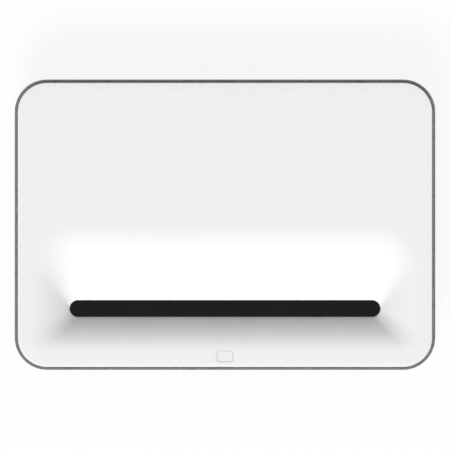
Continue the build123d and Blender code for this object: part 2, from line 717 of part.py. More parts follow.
def drive_post(x, side):
    inward = math.copysign(POST_RADIUS + DRIVE_WALL, (DRIVE_BACK + DRIVE_FRONT) / 2 - x)
    y = DRIVE_Y + side * (DRIVE_WIDTH / 2 - POST_RADIUS - DRIVE_WALL)
    return pillar(x + inward, y, POST_RADIUS, (FLOOR_TOP, INNER_FLOOR))


def engine_seats():
    """Raised pads under the light engine, the laser box, the mirror bracket and the speakers."""
    seats = []
    for x in (LENS_X - ENGINE_WIDTH / 3, LENS_X + ENGINE_WIDTH / 3):
        for y in (ENGINE_FRONT_Y + POST_RADIUS * 2, ENGINE_FRONT_Y + ENGINE_DEPTH - POST_RADIUS * 2):
            seats.append(pillar(x, y, POST_RADIUS, (FLOOR_TOP, INNER_FLOOR)))
    for x in (laser_limits()[0] + POST_RADIUS * 2, laser_limits()[1] - POST_RADIUS * 2):
        for side in (-1, 1):
            y = LASER_Y + side * (LASER_DEPTH / 2 - POST_RADIUS * 2)
            seats.append(pillar(x, y, POST_RADIUS, (FLOOR_TOP, INNER_FLOOR)))
    for side in (-1, 1):
        for x in SPEAKER_X:
            inward = math.copysign(POST_RADIUS * 2, sum(SPEAKER_X) / 2 - x)
            y = SPEAKER_FRONT + SPEAKER_DEPTH / 2
            seats.append(pillar(side * (x + inward), y, POST_RADIUS, (FLOOR_TOP, INNER_FLOOR)))
    return joined(seats)


def cooling_seats():
    """Cradles under the fans and the heat sink."""
    seats = []
    for y in EXHAUST_Y:
        seats.append(fan_cradle(-1, y))
    seats.append(fan_cradle(1, INTAKE_Y))
    for x in (sink_limits()[0] + POST_RADIUS * 2, sink_limits()[1] - POST_RADIUS * 2):
        for side in (-1, 1):
            y = LASER_Y + side * (SINK_DEPTH / 2 - POST_RADIUS * 2)
            seats.append(pillar(x, y, POST_RADIUS, (FLOOR_TOP, INNER_FLOOR)))
    return joined(seats)


def fan_limits(side):
    """X limits of a fan's frame against the left (-1) or right (+1) wall."""
    wall = WIDTH / 2 - INNER_INSET - FAN_WALL_GAP
    limits = sorted((side * wall, side * (wall - FAN_THICKNESS)))
    return limits[0], limits[1]


def fan_cradle(side, y):
    x = fan_limits(side)
    ledge = block(x, (y - FAN_SIZE / 2, y + FAN_SIZE / 2), (FLOOR_TOP, INNER_FLOOR))
    return ledge - block(x, (y - FAN_SIZE / 2 + 8, y + FAN_SIZE / 2 - 8), (FLOOR_TOP + 1, INNER_FLOOR + 1))


def vent_slots():
    """Rows of intake slots through the floor of the base pan."""
    slots = []
    for middle, y in VENT_BANKS:
        for index in range(VENT_COUNT):
            x = middle + (index - (VENT_COUNT - 1) / 2) * VENT_PITCH
            outline = Pos(x, y) * SlotOverall(VENT_SIZE[1], VENT_SIZE[0], rotation=90)
            slots.append(extrude(outline, FLOOR_TOP + 1))
    return joined(slots)


def screw(x, y, seat, tip):
    """Upright screw with its head below the seat and a hexagon socket in it."""
    shank = pillar(x, y, SCREW_RADIUS, (seat - 0.1, tip))
    head = pillar(x, y, SCREW_HEAD, (seat - SCREW_HEAD_HEIGHT, seat))
    socket_face = RegularPolygon(SCREW_RADIUS * 0.8, 6)
    return shank + head - Pos(x, y, seat - SCREW_HEAD_HEIGHT) * extrude(socket_face, SCREW_HEAD_HEIGHT / 2)


def case_screws():
    """Screws of the cover, of the shroud and of the rear feet."""
    screws = [screw(x, y, FLOOR_TOP + SCREW_HEAD_HEIGHT, BOSS_SPLIT + SCREW_BITE) for x, y in boss_places()]
    shroud_seat = shroud_top() - BASE_WALL
    screws += [screw(x, SLOT_Y, shroud_seat, shroud_top() + SCREW_BITE / 2 - 1) for x in shroud_ears()]
    screws += [screw(x, FOOT_REAR_Y, FOOT_GAP / 2, FLOOR_TOP + BOSS_RADIUS - 1.5) for x in (-FOOT_X, FOOT_X)]
    return group(screws)


# ================================================================== power button and feet
def power_button():
    top = HEIGHT - 0.1
    cap = Pos(0, BUTTON_Y, CEILING - FIT_GAP - 0.1) * extrude(
        RectangleRounded(BUTTON_SIZE[0], BUTTON_SIZE[1], BUTTON_CORNER), top - CEILING + FIT_GAP + 0.1
    )
    cap = soften_top(cap, 0.4)
    flange_high = CEILING - FIT_GAP
    flange = Pos(0, BUTTON_Y, flange_high - BUTTON_FLANGE) * extrude(
        RectangleRounded(BUTTON_SIZE[0] - 1, BUTTON_SIZE[1] + 3, BUTTON_CORNER), BUTTON_FLANGE
    )
    plunger_top = BUTTON_BOARD_Z + BOARD + SWITCH_BODY[2] + SWITCH_PLUNGER[1]
    stem = pillar(0, BUTTON_Y, BUTTON_STEM, (plunger_top + BUTTON_TRAVEL + 0.1, flange_high))
    return cap + flange + stem


def button_board():
    x, y = BUTTON_POST_X + BUTTON_POST_RADIUS + FIT_GAP, BUTTON_BOARD_DEPTH / 2
    top = BUTTON_BOARD_Z + BOARD
    board = block((-x, x), (BUTTON_Y - y, BUTTON_Y + y), (BUTTON_BOARD_Z, top))
    sx, sy, sz = SWITCH_BODY
    board += block((-sx / 2, sx / 2), (BUTTON_Y - sy / 2, BUTTON_Y + sy / 2), (top, top + sz))
    return board + pillar(0, BUTTON_Y, SWITCH_PLUNGER[0], (top + sz, top + sz + SWITCH_PLUNGER[1]))


def feet():
    """Two levelling feet at the front and two plain rubber feet at the rear."""
    made = {}
    for side, name in ((-1, "left"), (1, "right")):
        x = side * FOOT_X
        pad = soften_top(pillar(x, FOOT_FRONT_Y, FOOT_RADIUS, (0, FOOT_PAD)), 0.6)
        pad -= Pos(x, FOOT_FRONT_Y, FOOT_PAD) * Sphere(FOOT_BALL)
        made["foot_pad_" + name] = pad
        low = FOOT_PAD + FIT_GAP
        wheel = pillar(x, FOOT_FRONT_Y, FOOT_RADIUS - 0.5, (low, low + FOOT_WHEEL))
        grips = []
        for index in range(24):
            angle = 2 * math.pi * index / 24
            gx = x + FOOT_RADIUS * math.cos(angle)
            gy = FOOT_FRONT_Y + FOOT_RADIUS * math.sin(angle)
            grips.append(pillar(gx, gy, 1.0, (low - 1, low + FOOT_WHEEL + 1)))
        wheel -= joined(grips)
        wheel += pillar(x, FOOT_FRONT_Y, FOOT_STEM, (low + FOOT_WHEEL, FOOT_GAP + FOOT_STEM_RISE))
        wheel += Pos(x, FOOT_FRONT_Y, FOOT_PAD) * Sphere(FOOT_BALL - FIT_GAP)
        made["foot_screw_" + name] = wheel
    rear = []
    for x in (-FOOT_X, FOOT_X):
        foot = pillar(x, FOOT_REAR_Y, FOOT_RADIUS, (0, FOOT_GAP))
        foot -= pillar(x, FOOT_REAR_Y, SCREW_HEAD + FIT_GAP, (-1, FOOT_GAP / 2))
        foot -= pillar(x, FOOT_REAR_Y, SCREW_RADIUS + SHAFT_GAP, (-1, FOOT_GAP + 1))
        rear.append(foot)
    made["rear_feet"] = group(rear)
    return made


# ================================================================== lens, engine and mirror
def focus_axis_x():
    return LENS_X + (FOCUS_TEETH + PINION_TEETH) * FOCUS_MODULE / 2


def laser_limits():
    """X limits of the laser box, which butts against the light pipe of the engine."""
    right = LENS_X - ENGINE_WIDTH / 2 - LASER_GAP
    return right - LASER_WIDTH, right


def lens():
    flange_front = ENGINE_FRONT_Y - LENS_FLANGE
    barrel = rod_y(LENS_X, (LENS_FRONT_Y, LENS_SHOULDER_Y), LENS_Z, LENS_FRONT_RADIUS)
    barrel += rod_y(LENS_X, (LENS_SHOULDER_Y, flange_front), LENS_Z, LENS_MID_RADIUS)
    barrel += rod_y(LENS_X, (flange_front, ENGINE_FRONT_Y), LENS_Z, LENS_FRONT_RADIUS)
    barrel += rod_y(LENS_X, (ENGINE_FRONT_Y, ENGINE_FRONT_Y + LENS_TAIL), LENS_Z, LENS_TAIL_RADIUS)
    barrel -= rod_y(LENS_X, (LENS_FRONT_Y - 1, flange_front - LENS_FLANGE), LENS_Z, LENS_BORE)
    barrel -= rod_y(LENS_X, (LENS_FRONT_Y, ENGINE_FRONT_Y + LENS_TAIL + 1), LENS_Z, LENS_TAIL_BORE)
    glass_y = (LENS_FRONT_Y - 1, LENS_FRONT_Y + LENS_GLASS + 1)
    barrel -= rod_y(LENS_X, glass_y, LENS_Z, LENS_GLASS_RADIUS + SHAFT_GAP)
    motor_x = focus_axis_x()
    bracket = block(
        (LENS_X + LENS_MID_RADIUS, motor_x + FOCUS_MOTOR_RADIUS),
        (flange_front - LENS_FLANGE, ENGINE_FRONT_Y),
        (LENS_Z - FOCUS_MOTOR_RADIUS, LENS_Z + FOCUS_MOTOR_RADIUS),
    )
    hollow_y = (flange_front - 2 * LENS_FLANGE, flange_front)
    barrel += bracket - rod_y(LENS_X, hollow_y, LENS_Z, FOCUS_RING_RADIUS + MOVE_GAP)
    front = rod_y(LENS_X, (LENS_FRONT_Y + 1, LENS_FRONT_Y + 1 + LENS_GLASS), LENS_Z, LENS_GLASS_RADIUS)
    front &= Pos(LENS_X, LENS_FRONT_Y + 1 + LENS_DOME, LENS_Z) * Sphere(LENS_DOME)
    back = rod_y(LENS_X, (ENGINE_FRONT_Y, ENGINE_FRONT_Y + LENS_GLASS), LENS_Z, LENS_TAIL_BORE - SHAFT_GAP)
    ring_y = (LENS_SHOULDER_Y + FIT_GAP, flange_front - LENS_FLANGE - FIT_GAP)
    ring = rod_y(LENS_X, ring_y, LENS_Z, FOCUS_RING_RADIUS)
    gear_y = (FOCUS_GEAR_Y, FOCUS_GEAR_Y + FOCUS_GEAR_WIDTH)
    ring += gear_along_y(FOCUS_TEETH, LENS_X, gear_y)
    ring -= rod_y(LENS_X, (ring_y[0] - 1, ring_y[1] + 1), LENS_Z, LENS_MID_RADIUS + SHAFT_GAP)
    can_y = focus_motor_y()
    pinion = gear_along_y(PINION_TEETH, motor_x, gear_y, math.pi / PINION_TEETH * (1 + PINION_TEETH % 2))
    pinion += rod_y(motor_x, (gear_y[0] - 1, can_y[0] + 5), LENS_Z, FOCUS_SHAFT)
    return {
        "lens_barrel": barrel,
        "lens_glasses": group([front, back]),
        "focus_ring": ring,
        "focus_pinion": pinion,
    }


def focus_motor_y():
    """Y limits of the focus motor's can, whose back is screwed to the barrel's bracket."""
    back = ENGINE_FRONT_Y - 2 * LENS_FLANGE
    return back - FOCUS_MOTOR_LENGTH, back


def focus_motor():
    y = focus_motor_y()
    can = rod_y(focus_axis_x(), y, LENS_Z, FOCUS_MOTOR_RADIUS)
    return can - rod_y(focus_axis_x(), (y[0] - 1, y[0] + 6), LENS_Z, FOCUS_SHAFT + SHAFT_GAP)


def gear_along_y(teeth, x, y, turn=0.0):
    """Gear on an axis along Y at lens height, between two Y limits."""
    blank = extrude(gear_outline(teeth, FOCUS_MODULE, turn), y[1] - y[0])
    return Pos(x, y[1], LENS_Z) * Rot(90, 0, 0) * blank


def engine_housing():
    x = (LENS_X - ENGINE_WIDTH / 2, LENS_X + ENGINE_WIDTH / 2)
    y = (ENGINE_FRONT_Y, ENGINE_FRONT_Y + ENGINE_DEPTH)
    w = ENGINE_WALL
    housing = block(x, y, (INNER_FLOOR, ENGINE_HIGH))
    housing = fillet(housing.edges().filter_by(Axis.Z), 4)
    housing -= block((x[0] + w, x[1] - w), (y[0] + w, y[1] - w), (INNER_FLOOR + w, ENGINE_HIGH - w))
    housing -= rod_y(LENS_X, (y[0] - 1, y[0] + w + 1), LENS_Z, LENS_TAIL_RADIUS + SHAFT_GAP)
    housing -= rod_x((x[0] - 1, x[0] + w + 1), LASER_Y, pipe_z(), LIGHT_PIPE / 2 + 3 + SHAFT_GAP)
    chip_x, chip_z = DMD_CHIP[0] / 2, DMD_CHIP[1] / 2
    window_z = (pipe_z() - chip_z, pipe_z() + chip_z)
    return housing - block((LENS_X - chip_x, LENS_X + chip_x), (y[1] - w - 1, y[1] + 1), window_z)


def imaging_limits():
    """X and Z limits of the imaging chip's board and its heat sink."""
    half_x, half_z = DMD_BOARD[0] / 2, DMD_BOARD[1] / 2
    return (LENS_X - half_x, LENS_X + half_x), (pipe_z() - half_z, pipe_z() + half_z)


def imaging_board():
    x, z = imaging_limits()
    back = ENGINE_FRONT_Y + ENGINE_DEPTH
    return block(x, (back, back + BOARD), z)


def imaging_heatsink():
    x, z = imaging_limits()
    low = ENGINE_FRONT_Y + ENGINE_DEPTH + BOARD
    sink = block(x, (low, low + SINK_BASE), z)
    count = int(DMD_BOARD[0] / SINK_PITCH)
    for index in range(count):
        fin = x[0] + (DMD_BOARD[0] - SINK_FIN) * index / (count - 1)
        sink += block((fin, fin + SINK_FIN), (low, low + DMD_SINK_DEPTH), z)
    return sink


def pipe_z():
    """Height of the light pipe and of the imaging chip."""
    return (INNER_FLOOR + ENGINE_TOP) / 2


def mirror():
    """Concave mirror block facing back towards the lens and up, in its bracket."""
    half = MIRROR_WIDTH / 2
    y = (MIRROR_BACK_Y, MIRROR_BACK_Y + MIRROR_THICKNESS)
    glass = block((-half, half), y, (MIRROR_LOW, MIRROR_HIGH))
    tilt = math.radians(MIRROR_TILT)
    touch_y = MIRROR_BACK_Y + MIRROR_DISH
    centre_y = touch_y + MIRROR_CURVE * math.cos(tilt)
    centre_z = (MIRROR_LOW + MIRROR_HIGH) / 2 + MIRROR_CURVE * math.sin(tilt)
    glass -= Pos(0, centre_y, centre_z) * Sphere(MIRROR_CURVE)
    w = BRACKET_WALL
    outer = half + FIT_GAP + w
    bracket = block((-outer, outer), y, (MIRROR_LOW - w, MIRROR_LOW))
    for side in (-1, 1):
        limits = sorted((side * (half + FIT_GAP), side * outer))
        bracket += block(limits, y, (FLOOR_TOP, MIRROR_HIGH))
    return {"mirror": glass, "mirror_bracket": bracket}


# ================================================================== laser source and cooling
def laser():
    x = laser_limits()
    y = (LASER_Y - LASER_DEPTH / 2, LASER_Y + LASER_DEPTH / 2)
    w = LASER_WALL
    box = block(x, y, (INNER_FLOOR, ENGINE_TOP))
    box = fillet(box.edges().filter_by(Axis.Z), 3)
    box -= block((x[0] + w, x[1] - w), (y[0] + w, y[1] - w), (INNER_FLOOR + w, ENGINE_TOP - w))
    box -= rod_x((x[1] - w - 1, x[1] + 1), LASER_Y, pipe_z(), LIGHT_PIPE / 2 + 3 + SHAFT_GAP)
    motor_x = phosphor_motor_x()
    bank_x = (x[0] + w, x[0] + w + LASER_BANK[0])
    pipe_end = LENS_X - ENGINE_WIDTH / 2 + ENGINE_WALL
    pipe = rod_x((motor_x[1] + MOVE_GAP, pipe_end), LASER_Y, pipe_z(), LIGHT_PIPE / 2 + 3)
    pipe -= rod_x((motor_x[1] - 1, pipe_end + 1), LASER_Y, pipe_z(), LIGHT_PIPE / 2)
    wheel = rod_x((WHEEL_X - WHEEL_THICKNESS / 2, WHEEL_X + WHEEL_THICKNESS / 2), LASER_Y, pipe_z(), WHEEL_RADIUS)
    wheel += rod_x((WHEEL_X - WHEEL_THICKNESS / 2 - 1, WHEEL_X), LASER_Y, pipe_z(), WHEEL_HUB)
    wheel += rod_x((WHEEL_X, motor_x[0] + 8), LASER_Y, pipe_z(), WHEEL_SHAFT)
    bank = block(
        bank_x,
        (LASER_Y - LASER_BANK[1] / 2, LASER_Y + LASER_BANK[1] / 2),
        (pipe_z() - LASER_BANK[2] / 2, pipe_z() + LASER_BANK[2] / 2),
    )
    for row in (-1, 0, 1):
        for column in (-1.5, -0.5, 0.5, 1.5):
            bank += rod_x((bank_x[1], bank_x[1] + 1.5), LASER_Y + column * 8, pipe_z() + row * 8, 2.6)
    return {
        "laser_housing": box,
        "phosphor_wheel": wheel,
        "laser_optics": group([pipe, bank]),
    }


def phosphor_motor_x():
    low = WHEEL_X + WHEEL_THICKNESS / 2 + MOVE_GAP
    return low, low + WHEEL_MOTOR[1]


def phosphor_motor():
    x = phosphor_motor_x()
    motor = rod_x(x, LASER_Y, pipe_z(), WHEEL_MOTOR[0])
    foot_z = (INNER_FLOOR + LASER_WALL, pipe_z() - WHEEL_MOTOR[0] + 1)
    motor += block(x, (LASER_Y - 4, LASER_Y + 4), foot_z)
    return motor - rod_x((x[0] - 1, x[0] + 9), LASER_Y, pipe_z(), WHEEL_SHAFT + SHAFT_GAP)


def sink_limits():
    return fan_limits(-1)[1] + SINK_FAN_GAP, laser_limits()[0] - COLD_PLATE[0]


def laser_heatsink():
    x = sink_limits()
    y = (LASER_Y - SINK_DEPTH / 2, LASER_Y + SINK_DEPTH / 2)
    top = INNER_FLOOR + SINK_HEIGHT
    sink = block(x, y, (INNER_FLOOR, INNER_FLOOR + SINK_BASE))
    count = int(SINK_DEPTH / SINK_PITCH)
    for index in range(count):
        low = y[0] + (SINK_DEPTH - SINK_FIN) * index / (count - 1)
        sink += block(x, (low, low + SINK_FIN), (INNER_FLOOR, top))
    return sink


def heat_pipes():
    """Cold plate on the laser box, and the pipes that leave it and run over the fins of the heat sink."""
    x = sink_limits()
    half = COLD_PLATE[1] / 2
    plate = block((x[1], x[1] + COLD_PLATE[0]), (LASER_Y - half, LASER_Y + half), (INNER_FLOOR, ENGINE_TOP))
    top = INNER_FLOOR + SINK_HEIGHT + PIPE_RADIUS
    bend = COLD_PLATE[0] / 2
    root_x = x[1] + bend
    pipes = [plate]
    for y in (LASER_Y - PIPE_SPREAD, LASER_Y, LASER_Y + PIPE_SPREAD):
        path = FilletPolyline((root_x, y, ENGINE_TOP), (root_x, y, top), (x[0] + bend, y, top), radius=bend)
        section = Plane(origin=path @ 0, z_dir=path % 0) * Circle(PIPE_RADIUS)
        pipes.append(sweep(section, path=path))
    return group(pipes)


def fan_frame(side, y):
    x = fan_limits(side)
    z = INNER_FLOOR + FAN_SIZE / 2
    half = FAN_SIZE / 2
    frame = block(x, (y - half, y + half), (z - half, z + half))
    frame = fillet(frame.edges().filter_by(Axis.X), 4)
    frame -= rod_x((x[0] - 1, x[1] + 1), y, z, FAN_BORE)
    outer = x[0] if side < 0 else x[1]
    plate = sorted((outer, outer - side * 2.0))
    spider = rod_x(plate, y, z, FAN_HUB)
    for angle in (45, 135, 225, 315):
        arm = block((plate[0], plate[1]), (0, FAN_BORE + 1), (-2, 2))
        spider += Pos(0, y, z) * Rot(angle, 0, 0) * arm
    pin = sorted((outer, outer - side * (FAN_THICKNESS - 2)))
    return frame + spider + rod_x(pin, y, z, FAN_SHAFT)


def fan_rotor(side, y):
    x = fan_limits(side)
    z = INNER_FLOOR + FAN_SIZE / 2
    outer = x[0] if side < 0 else x[1]
    body = sorted((outer - side * (2.0 + MOVE_GAP), outer - side * (FAN_THICKNESS - 1)))
    middle = (body[0] + body[1]) / 2
    rotor = rod_x(body, y, z, FAN_HUB)
    blade_half = (body[1] - body[0]) * 0.315 / math.cos(math.radians(FAN_PITCH_DEG))
    blade_y = (0, FAN_BLADE_RADIUS - FAN_HUB + 2)
    for index in range(FAN_BLADES):
        blade = block((-blade_half, blade_half), blade_y, (-FAN_BLADE / 2, FAN_BLADE / 2))
        blade = Rot(0, FAN_PITCH_DEG, 0) * blade
        rotor += Pos(middle, y, z) * Rot(360 * index / FAN_BLADES, 0, 0) * Pos(0, FAN_HUB - 2, 0) * blade
    rotor &= rod_x(body, y, z, FAN_BLADE_RADIUS)
    return rotor - rod_x((body[0] - 1, body[1] + 1), y, z, FAN_SHAFT + SHAFT_GAP)


def fans():
    return {
        "fan_frames": group([fan_frame(-1, y) for y in EXHAUST_Y] + [fan_frame(1, INTAKE_Y)]),
        "exhaust_fan_rotor_front": fan_rotor(-1, EXHAUST_Y[0]),
        "exhaust_fan_rotor_rear": fan_rotor(-1, EXHAUST_Y[1]),
        "intake_fan_rotor": fan_rotor(1, INTAKE_Y),
    }


# ================================================================== boards, sockets and speakers
def board_top():
    return MAIN_BOARD_Z + BOARD


def socket(place):
    """Open-mouthed shell on the board with a contact tongue across its cavity."""
    x, width, height = LENS_X + place[0], place[1], place[2]
    y = (SOCKET_FRONT - SOCKET_DEPTH, SOCKET_FRONT)
    z = (board_top(), board_top() + height)
    shell = block((x - width / 2, x + width / 2), y, z)
    wall = SOCKET_WALL
    mouth_x = (x - width / 2 + wall, x + width / 2 - wall)
    shell -= block(mouth_x, (y[0] + wall * 2, y[1] + 1), (z[0] + wall, z[1] - wall))
    middle = (z[0] + z[1]) / 2
    half = SOCKET_TONGUE / 2
    return shell + block((x - width / 4, x + width / 4), (y[0] + wall, y[1] - 2), (middle - half, middle + half))


def ethernet_socket():
    x, width, height = LENS_X + ETHERNET[0], ETHERNET[1], ETHERNET[2]
    y = (SOCKET_FRONT - SOCKET_DEPTH, SOCKET_FRONT)
    z = (board_top(), board_top() + height)
    w = 2 * SOCKET_WALL
    shell = block((x - width / 2, x + width / 2), y, z)
    shell -= block((x - width / 2 + w, x + width / 2 - w), (y[0] + w, y[1] + 1), (z[0] + w, z[1] - w))
    pins = []
    for index in range(8):
        px = x + (index - 3.5) * 1.02
        pins.append(block((px - 0.2, px + 0.2), (y[0] + w - 0.1, y[1] - 4), (z[1] - w - 1.2, z[1] - w - 0.7)))
    comb = block((x - 4.4, x + 4.4), (y[0] + w - 0.1, y[1] - 4), (z[1] - w - 0.8, z[1] - w + 0.1))
    return shell + comb + joined(pins)


def audio_sockets():
    front = SOCKET_FRONT
    z = board_top() + AUDIO_RADIUS
    jack = block((AUDIO_X - 4, AUDIO_X + 4), (front - SOCKET_DEPTH, front - 2), (board_top(), z + AUDIO_RADIUS))
    jack += rod_y(AUDIO_X, (front - 3, front + 0.6), z, AUDIO_RADIUS)
    jack -= rod_y(AUDIO_X, (front - SOCKET_DEPTH + 2, front + 1), z, AUDIO_BORE)
    x, width, height = LENS_X + OPTICAL[0], OPTICAL[1], OPTICAL[2]
    optical_z = (board_top(), board_top() + height)
    optical = block((x - width / 2, x + width / 2), (front - SOCKET_DEPTH, front), optical_z)
    oz = board_top() + height / 2
    optical -= block((x - 3.2, x + 3.2), (front - 6, front + 1), (oz - 3.2, oz + 3.2))
    optical += rod_y(x, (front - 7, front - 4), oz, 1.2)
    return group([jack, optical])


def power_inlet():
    x, width, height = INLET
    y = (SOCKET_FRONT - 2 * SOCKET_DEPTH, SOCKET_FRONT)
    z = (INLET_Z, INLET_Z + height)
    w = INLET_WALL
    body = block((x - width / 2, x + width / 2), y, z)
    body -= block((x - width / 2 + w, x + width / 2 - w), (y[1] - 16, y[1] + 1), (z[0] + w, z[1] - w))
    middle = (z[0] + z[1]) / 2
    pins = []
    for dx, dz in ((-7.0, -1.5), (0.0, 2.0), (7.0, -1.5)):
        px, pz = x + dx, middle + dz
        pins.append(block((px - 1, px + 1), (y[1] - 17, y[1] - 6), (pz - 2, pz + 2)))
    return body + joined(pins)


def port_panel():
    gap = FIT_GAP
    x = (PANEL_X[0] + gap, PANEL_X[1] - gap)
    z = (PANEL_Z[0] + gap, PANEL_Z[1] - gap)
    face = SOCKET_FRONT
    outer = DEPTH / 2 - 0.2
    w = PANEL_WALL
    panel = block(x, (face - w, outer), z)
    panel -= block((x[0] + w, x[1] - w), (face, outer + 1), (z[0] + w, z[1] - w))
    holes = [(INLET[0], INLET[1], INLET[2], INLET_Z)]
    for place, width, height in (ETHERNET, OPTICAL) + USB + HDMI:
        holes.append((LENS_X + place, width, height, board_top()))
    for px, width, height, low in holes:
        cut_x = (px - width / 2 - gap, px + width / 2 + gap)
        panel -= block(cut_x, (face - w - 1, face + 1), (low - gap, low + height + gap))
    return panel - rod_y(AUDIO_X, (face - w - 1, face + 1), board_top() + AUDIO_RADIUS, AUDIO_RADIUS + gap)


def main_board():
    top = board_top()
    board = block(MAIN_BOARD_X, MAIN_BOARD_Y, (MAIN_BOARD_Z, top))
    x, y = MAIN_BOARD_X[0], MAIN_BOARD_Y[0]
    for left, right, near, far, height in MAIN_CHIPS:
        board += block((x + left, x + right), (y + near, y + far), (top, top + height))
    radius, height = MAIN_CAPACITOR
    for dx, dy in MAIN_CAPACITORS:
        board += pillar(x + dx, y + dy, radius, (top, top + height))
    return board


def power_supply():
    low = FLOOR_TOP + SUPPLY_STANDOFF
    top = low + BOARD
    board = block(SUPPLY_X, SUPPLY_Y, (low, top))
    x, y = SUPPLY_X[0], SUPPLY_Y[0]
    for left, right, near, far, height in SUPPLY_BLOCKS:
        board += block((x + left, x + right), (y + near, y + far), (top, top + height))
    for dx, dy, radius, height in SUPPLY_CAPACITORS:
        board += pillar(x + dx, y + dy, radius, (top, top + height))
    return board


def speakers():
    front = SPEAKER_FRONT
    boxes, baskets, cones, tweeters = [], [], [], []
    z = (INNER_FLOOR + SPEAKER_TOP) / 2
    w = SPEAKER_WALL
    hole = WOOFER_RADIUS - WOOFER_SEAT
    mouth = WOOFER_RADIUS - WOOFER_RIM
    for side in (-1, 1):
        x = sorted(side * value for value in SPEAKER_X)
        y = (front, front + SPEAKER_DEPTH)
        box = block(x, y, (INNER_FLOOR, SPEAKER_TOP))
        box = fillet(box.edges().filter_by(Axis.Z), 4)
        box -= block((x[0] + w, x[1] - w), (y[0] + w, y[1] - w), (INNER_FLOOR + w, SPEAKER_TOP - w))
        wx, tx = side * (SPEAKER_X[0] + WOOFER_INSET), side * (SPEAKER_X[1] - TWEETER_INSET)
        box -= rod_y(wx, (front - 1, front + w + 1), z, hole)
        box -= rod_y(tx, (front - 1, front + w + 1), z, TWEETER_RADIUS)
        boxes.append(box)
        basket = rod_y(wx, (front - WOOFER_RIM_THICKNESS, front), z, WOOFER_RADIUS)
        basket -= rod_y(wx, (front - WOOFER_RIM_THICKNESS - 1, front + 1), z, mouth)
        magnet_y = (front + WOOFER_DEPTH - MAGNET[1], front + WOOFER_DEPTH)
        basket += rod_y(wx, magnet_y, z, MAGNET[0])
        for angle in (0, 90, 180, 270):
            basket += Pos(wx, front, z) * Rot(0, angle, 0) * basket_arm(hole, mouth)
        baskets.append(basket)
        cones.append(Pos(wx, front, z) * woofer_cone(mouth))
        tweeter = rod_y(tx, (front - TWEETER_RIM / 2, front), z, TWEETER_RADIUS + TWEETER_RIM)
        tweeter += rod_y(tx, (front, front + TWEETER_DEPTH), z, TWEETER_RADIUS - FIT_GAP)
        tweeter -= Pos(tx, front - TWEETER_RADIUS + TWEETER_RIM, z) * Sphere(TWEETER_RADIUS - 1)
        tweeter += Pos(tx, front + TWEETER_RIM / 2, z) * Sphere(TWEETER_RIM)
        tweeters.append(tweeter)
    return {
        "speaker_boxes": group(boxes),
        "speaker_drivers": group(baskets + tweeters),
        "woofer_cones": group(cones),
    }


def basket_arm(hole, mouth):
    """Arm from the woofer's rim, clear of the cone, back to its magnet."""
    width, leg, foot = BASKET_ARM
    foot_y = WOOFER_DEPTH - MAGNET[1] - foot / 2
    out = hole - FIT_GAP
    arm = block((MAGNET[0] - leg, out), (foot_y, foot_y + foot), (-width / 2, width / 2))
    arm += block((out - leg, out), (FIT_GAP + leg / 2, foot_y + 1), (-width / 2, width / 2))
    return arm + block((mouth, out), (-WOOFER_RIM_THICKNESS, foot_y), (-width / 2, width / 2))


def woofer_cone(mouth):
    edge = mouth - FIT_GAP
    front = -1.0
    back = WOOFER_DEPTH - MAGNET[1] - FIT_GAP
    deep = front + CONE_DEPTH
    profile = [
        (edge, front), (edge, front + CONE_WALL), (COIL_RADIUS, deep + CONE_WALL), (COIL_RADIUS, back),
        (0, back), (0, deep - 3), (COIL_RADIUS, deep - 3),
    ]
    return revolve(make_face(Polyline(*profile, close=True)), Axis.Y)


# ================================================================== disc drive
def rack_gear_place():
    """Centre of the gear that drives the tray's rack."""
    pitch = GEAR_MODULE * RACK_GEAR_TEETH / 2
    return DRIVE_FRONT - 14.0, DRIVE_Y + RACK_Y - pitch


def pulley_place():
    """Centre of the belt pulley, whose pinion meshes with the large wheel of the tray gear."""
    x, y = rack_gear_place()
    reach = GEAR_MODULE * (LARGE_GEAR_TEETH + SMALL_GEAR_TEETH) / 2
    angle = math.radians(PULLEY_BEARING)
    return x + reach * math.cos(angle), y + reach * math.sin(angle)


def loading_motor_place():
    x, y = pulley_place()
    return x + MOTOR_OFFSET[0], y + MOTOR_OFFSET[1]


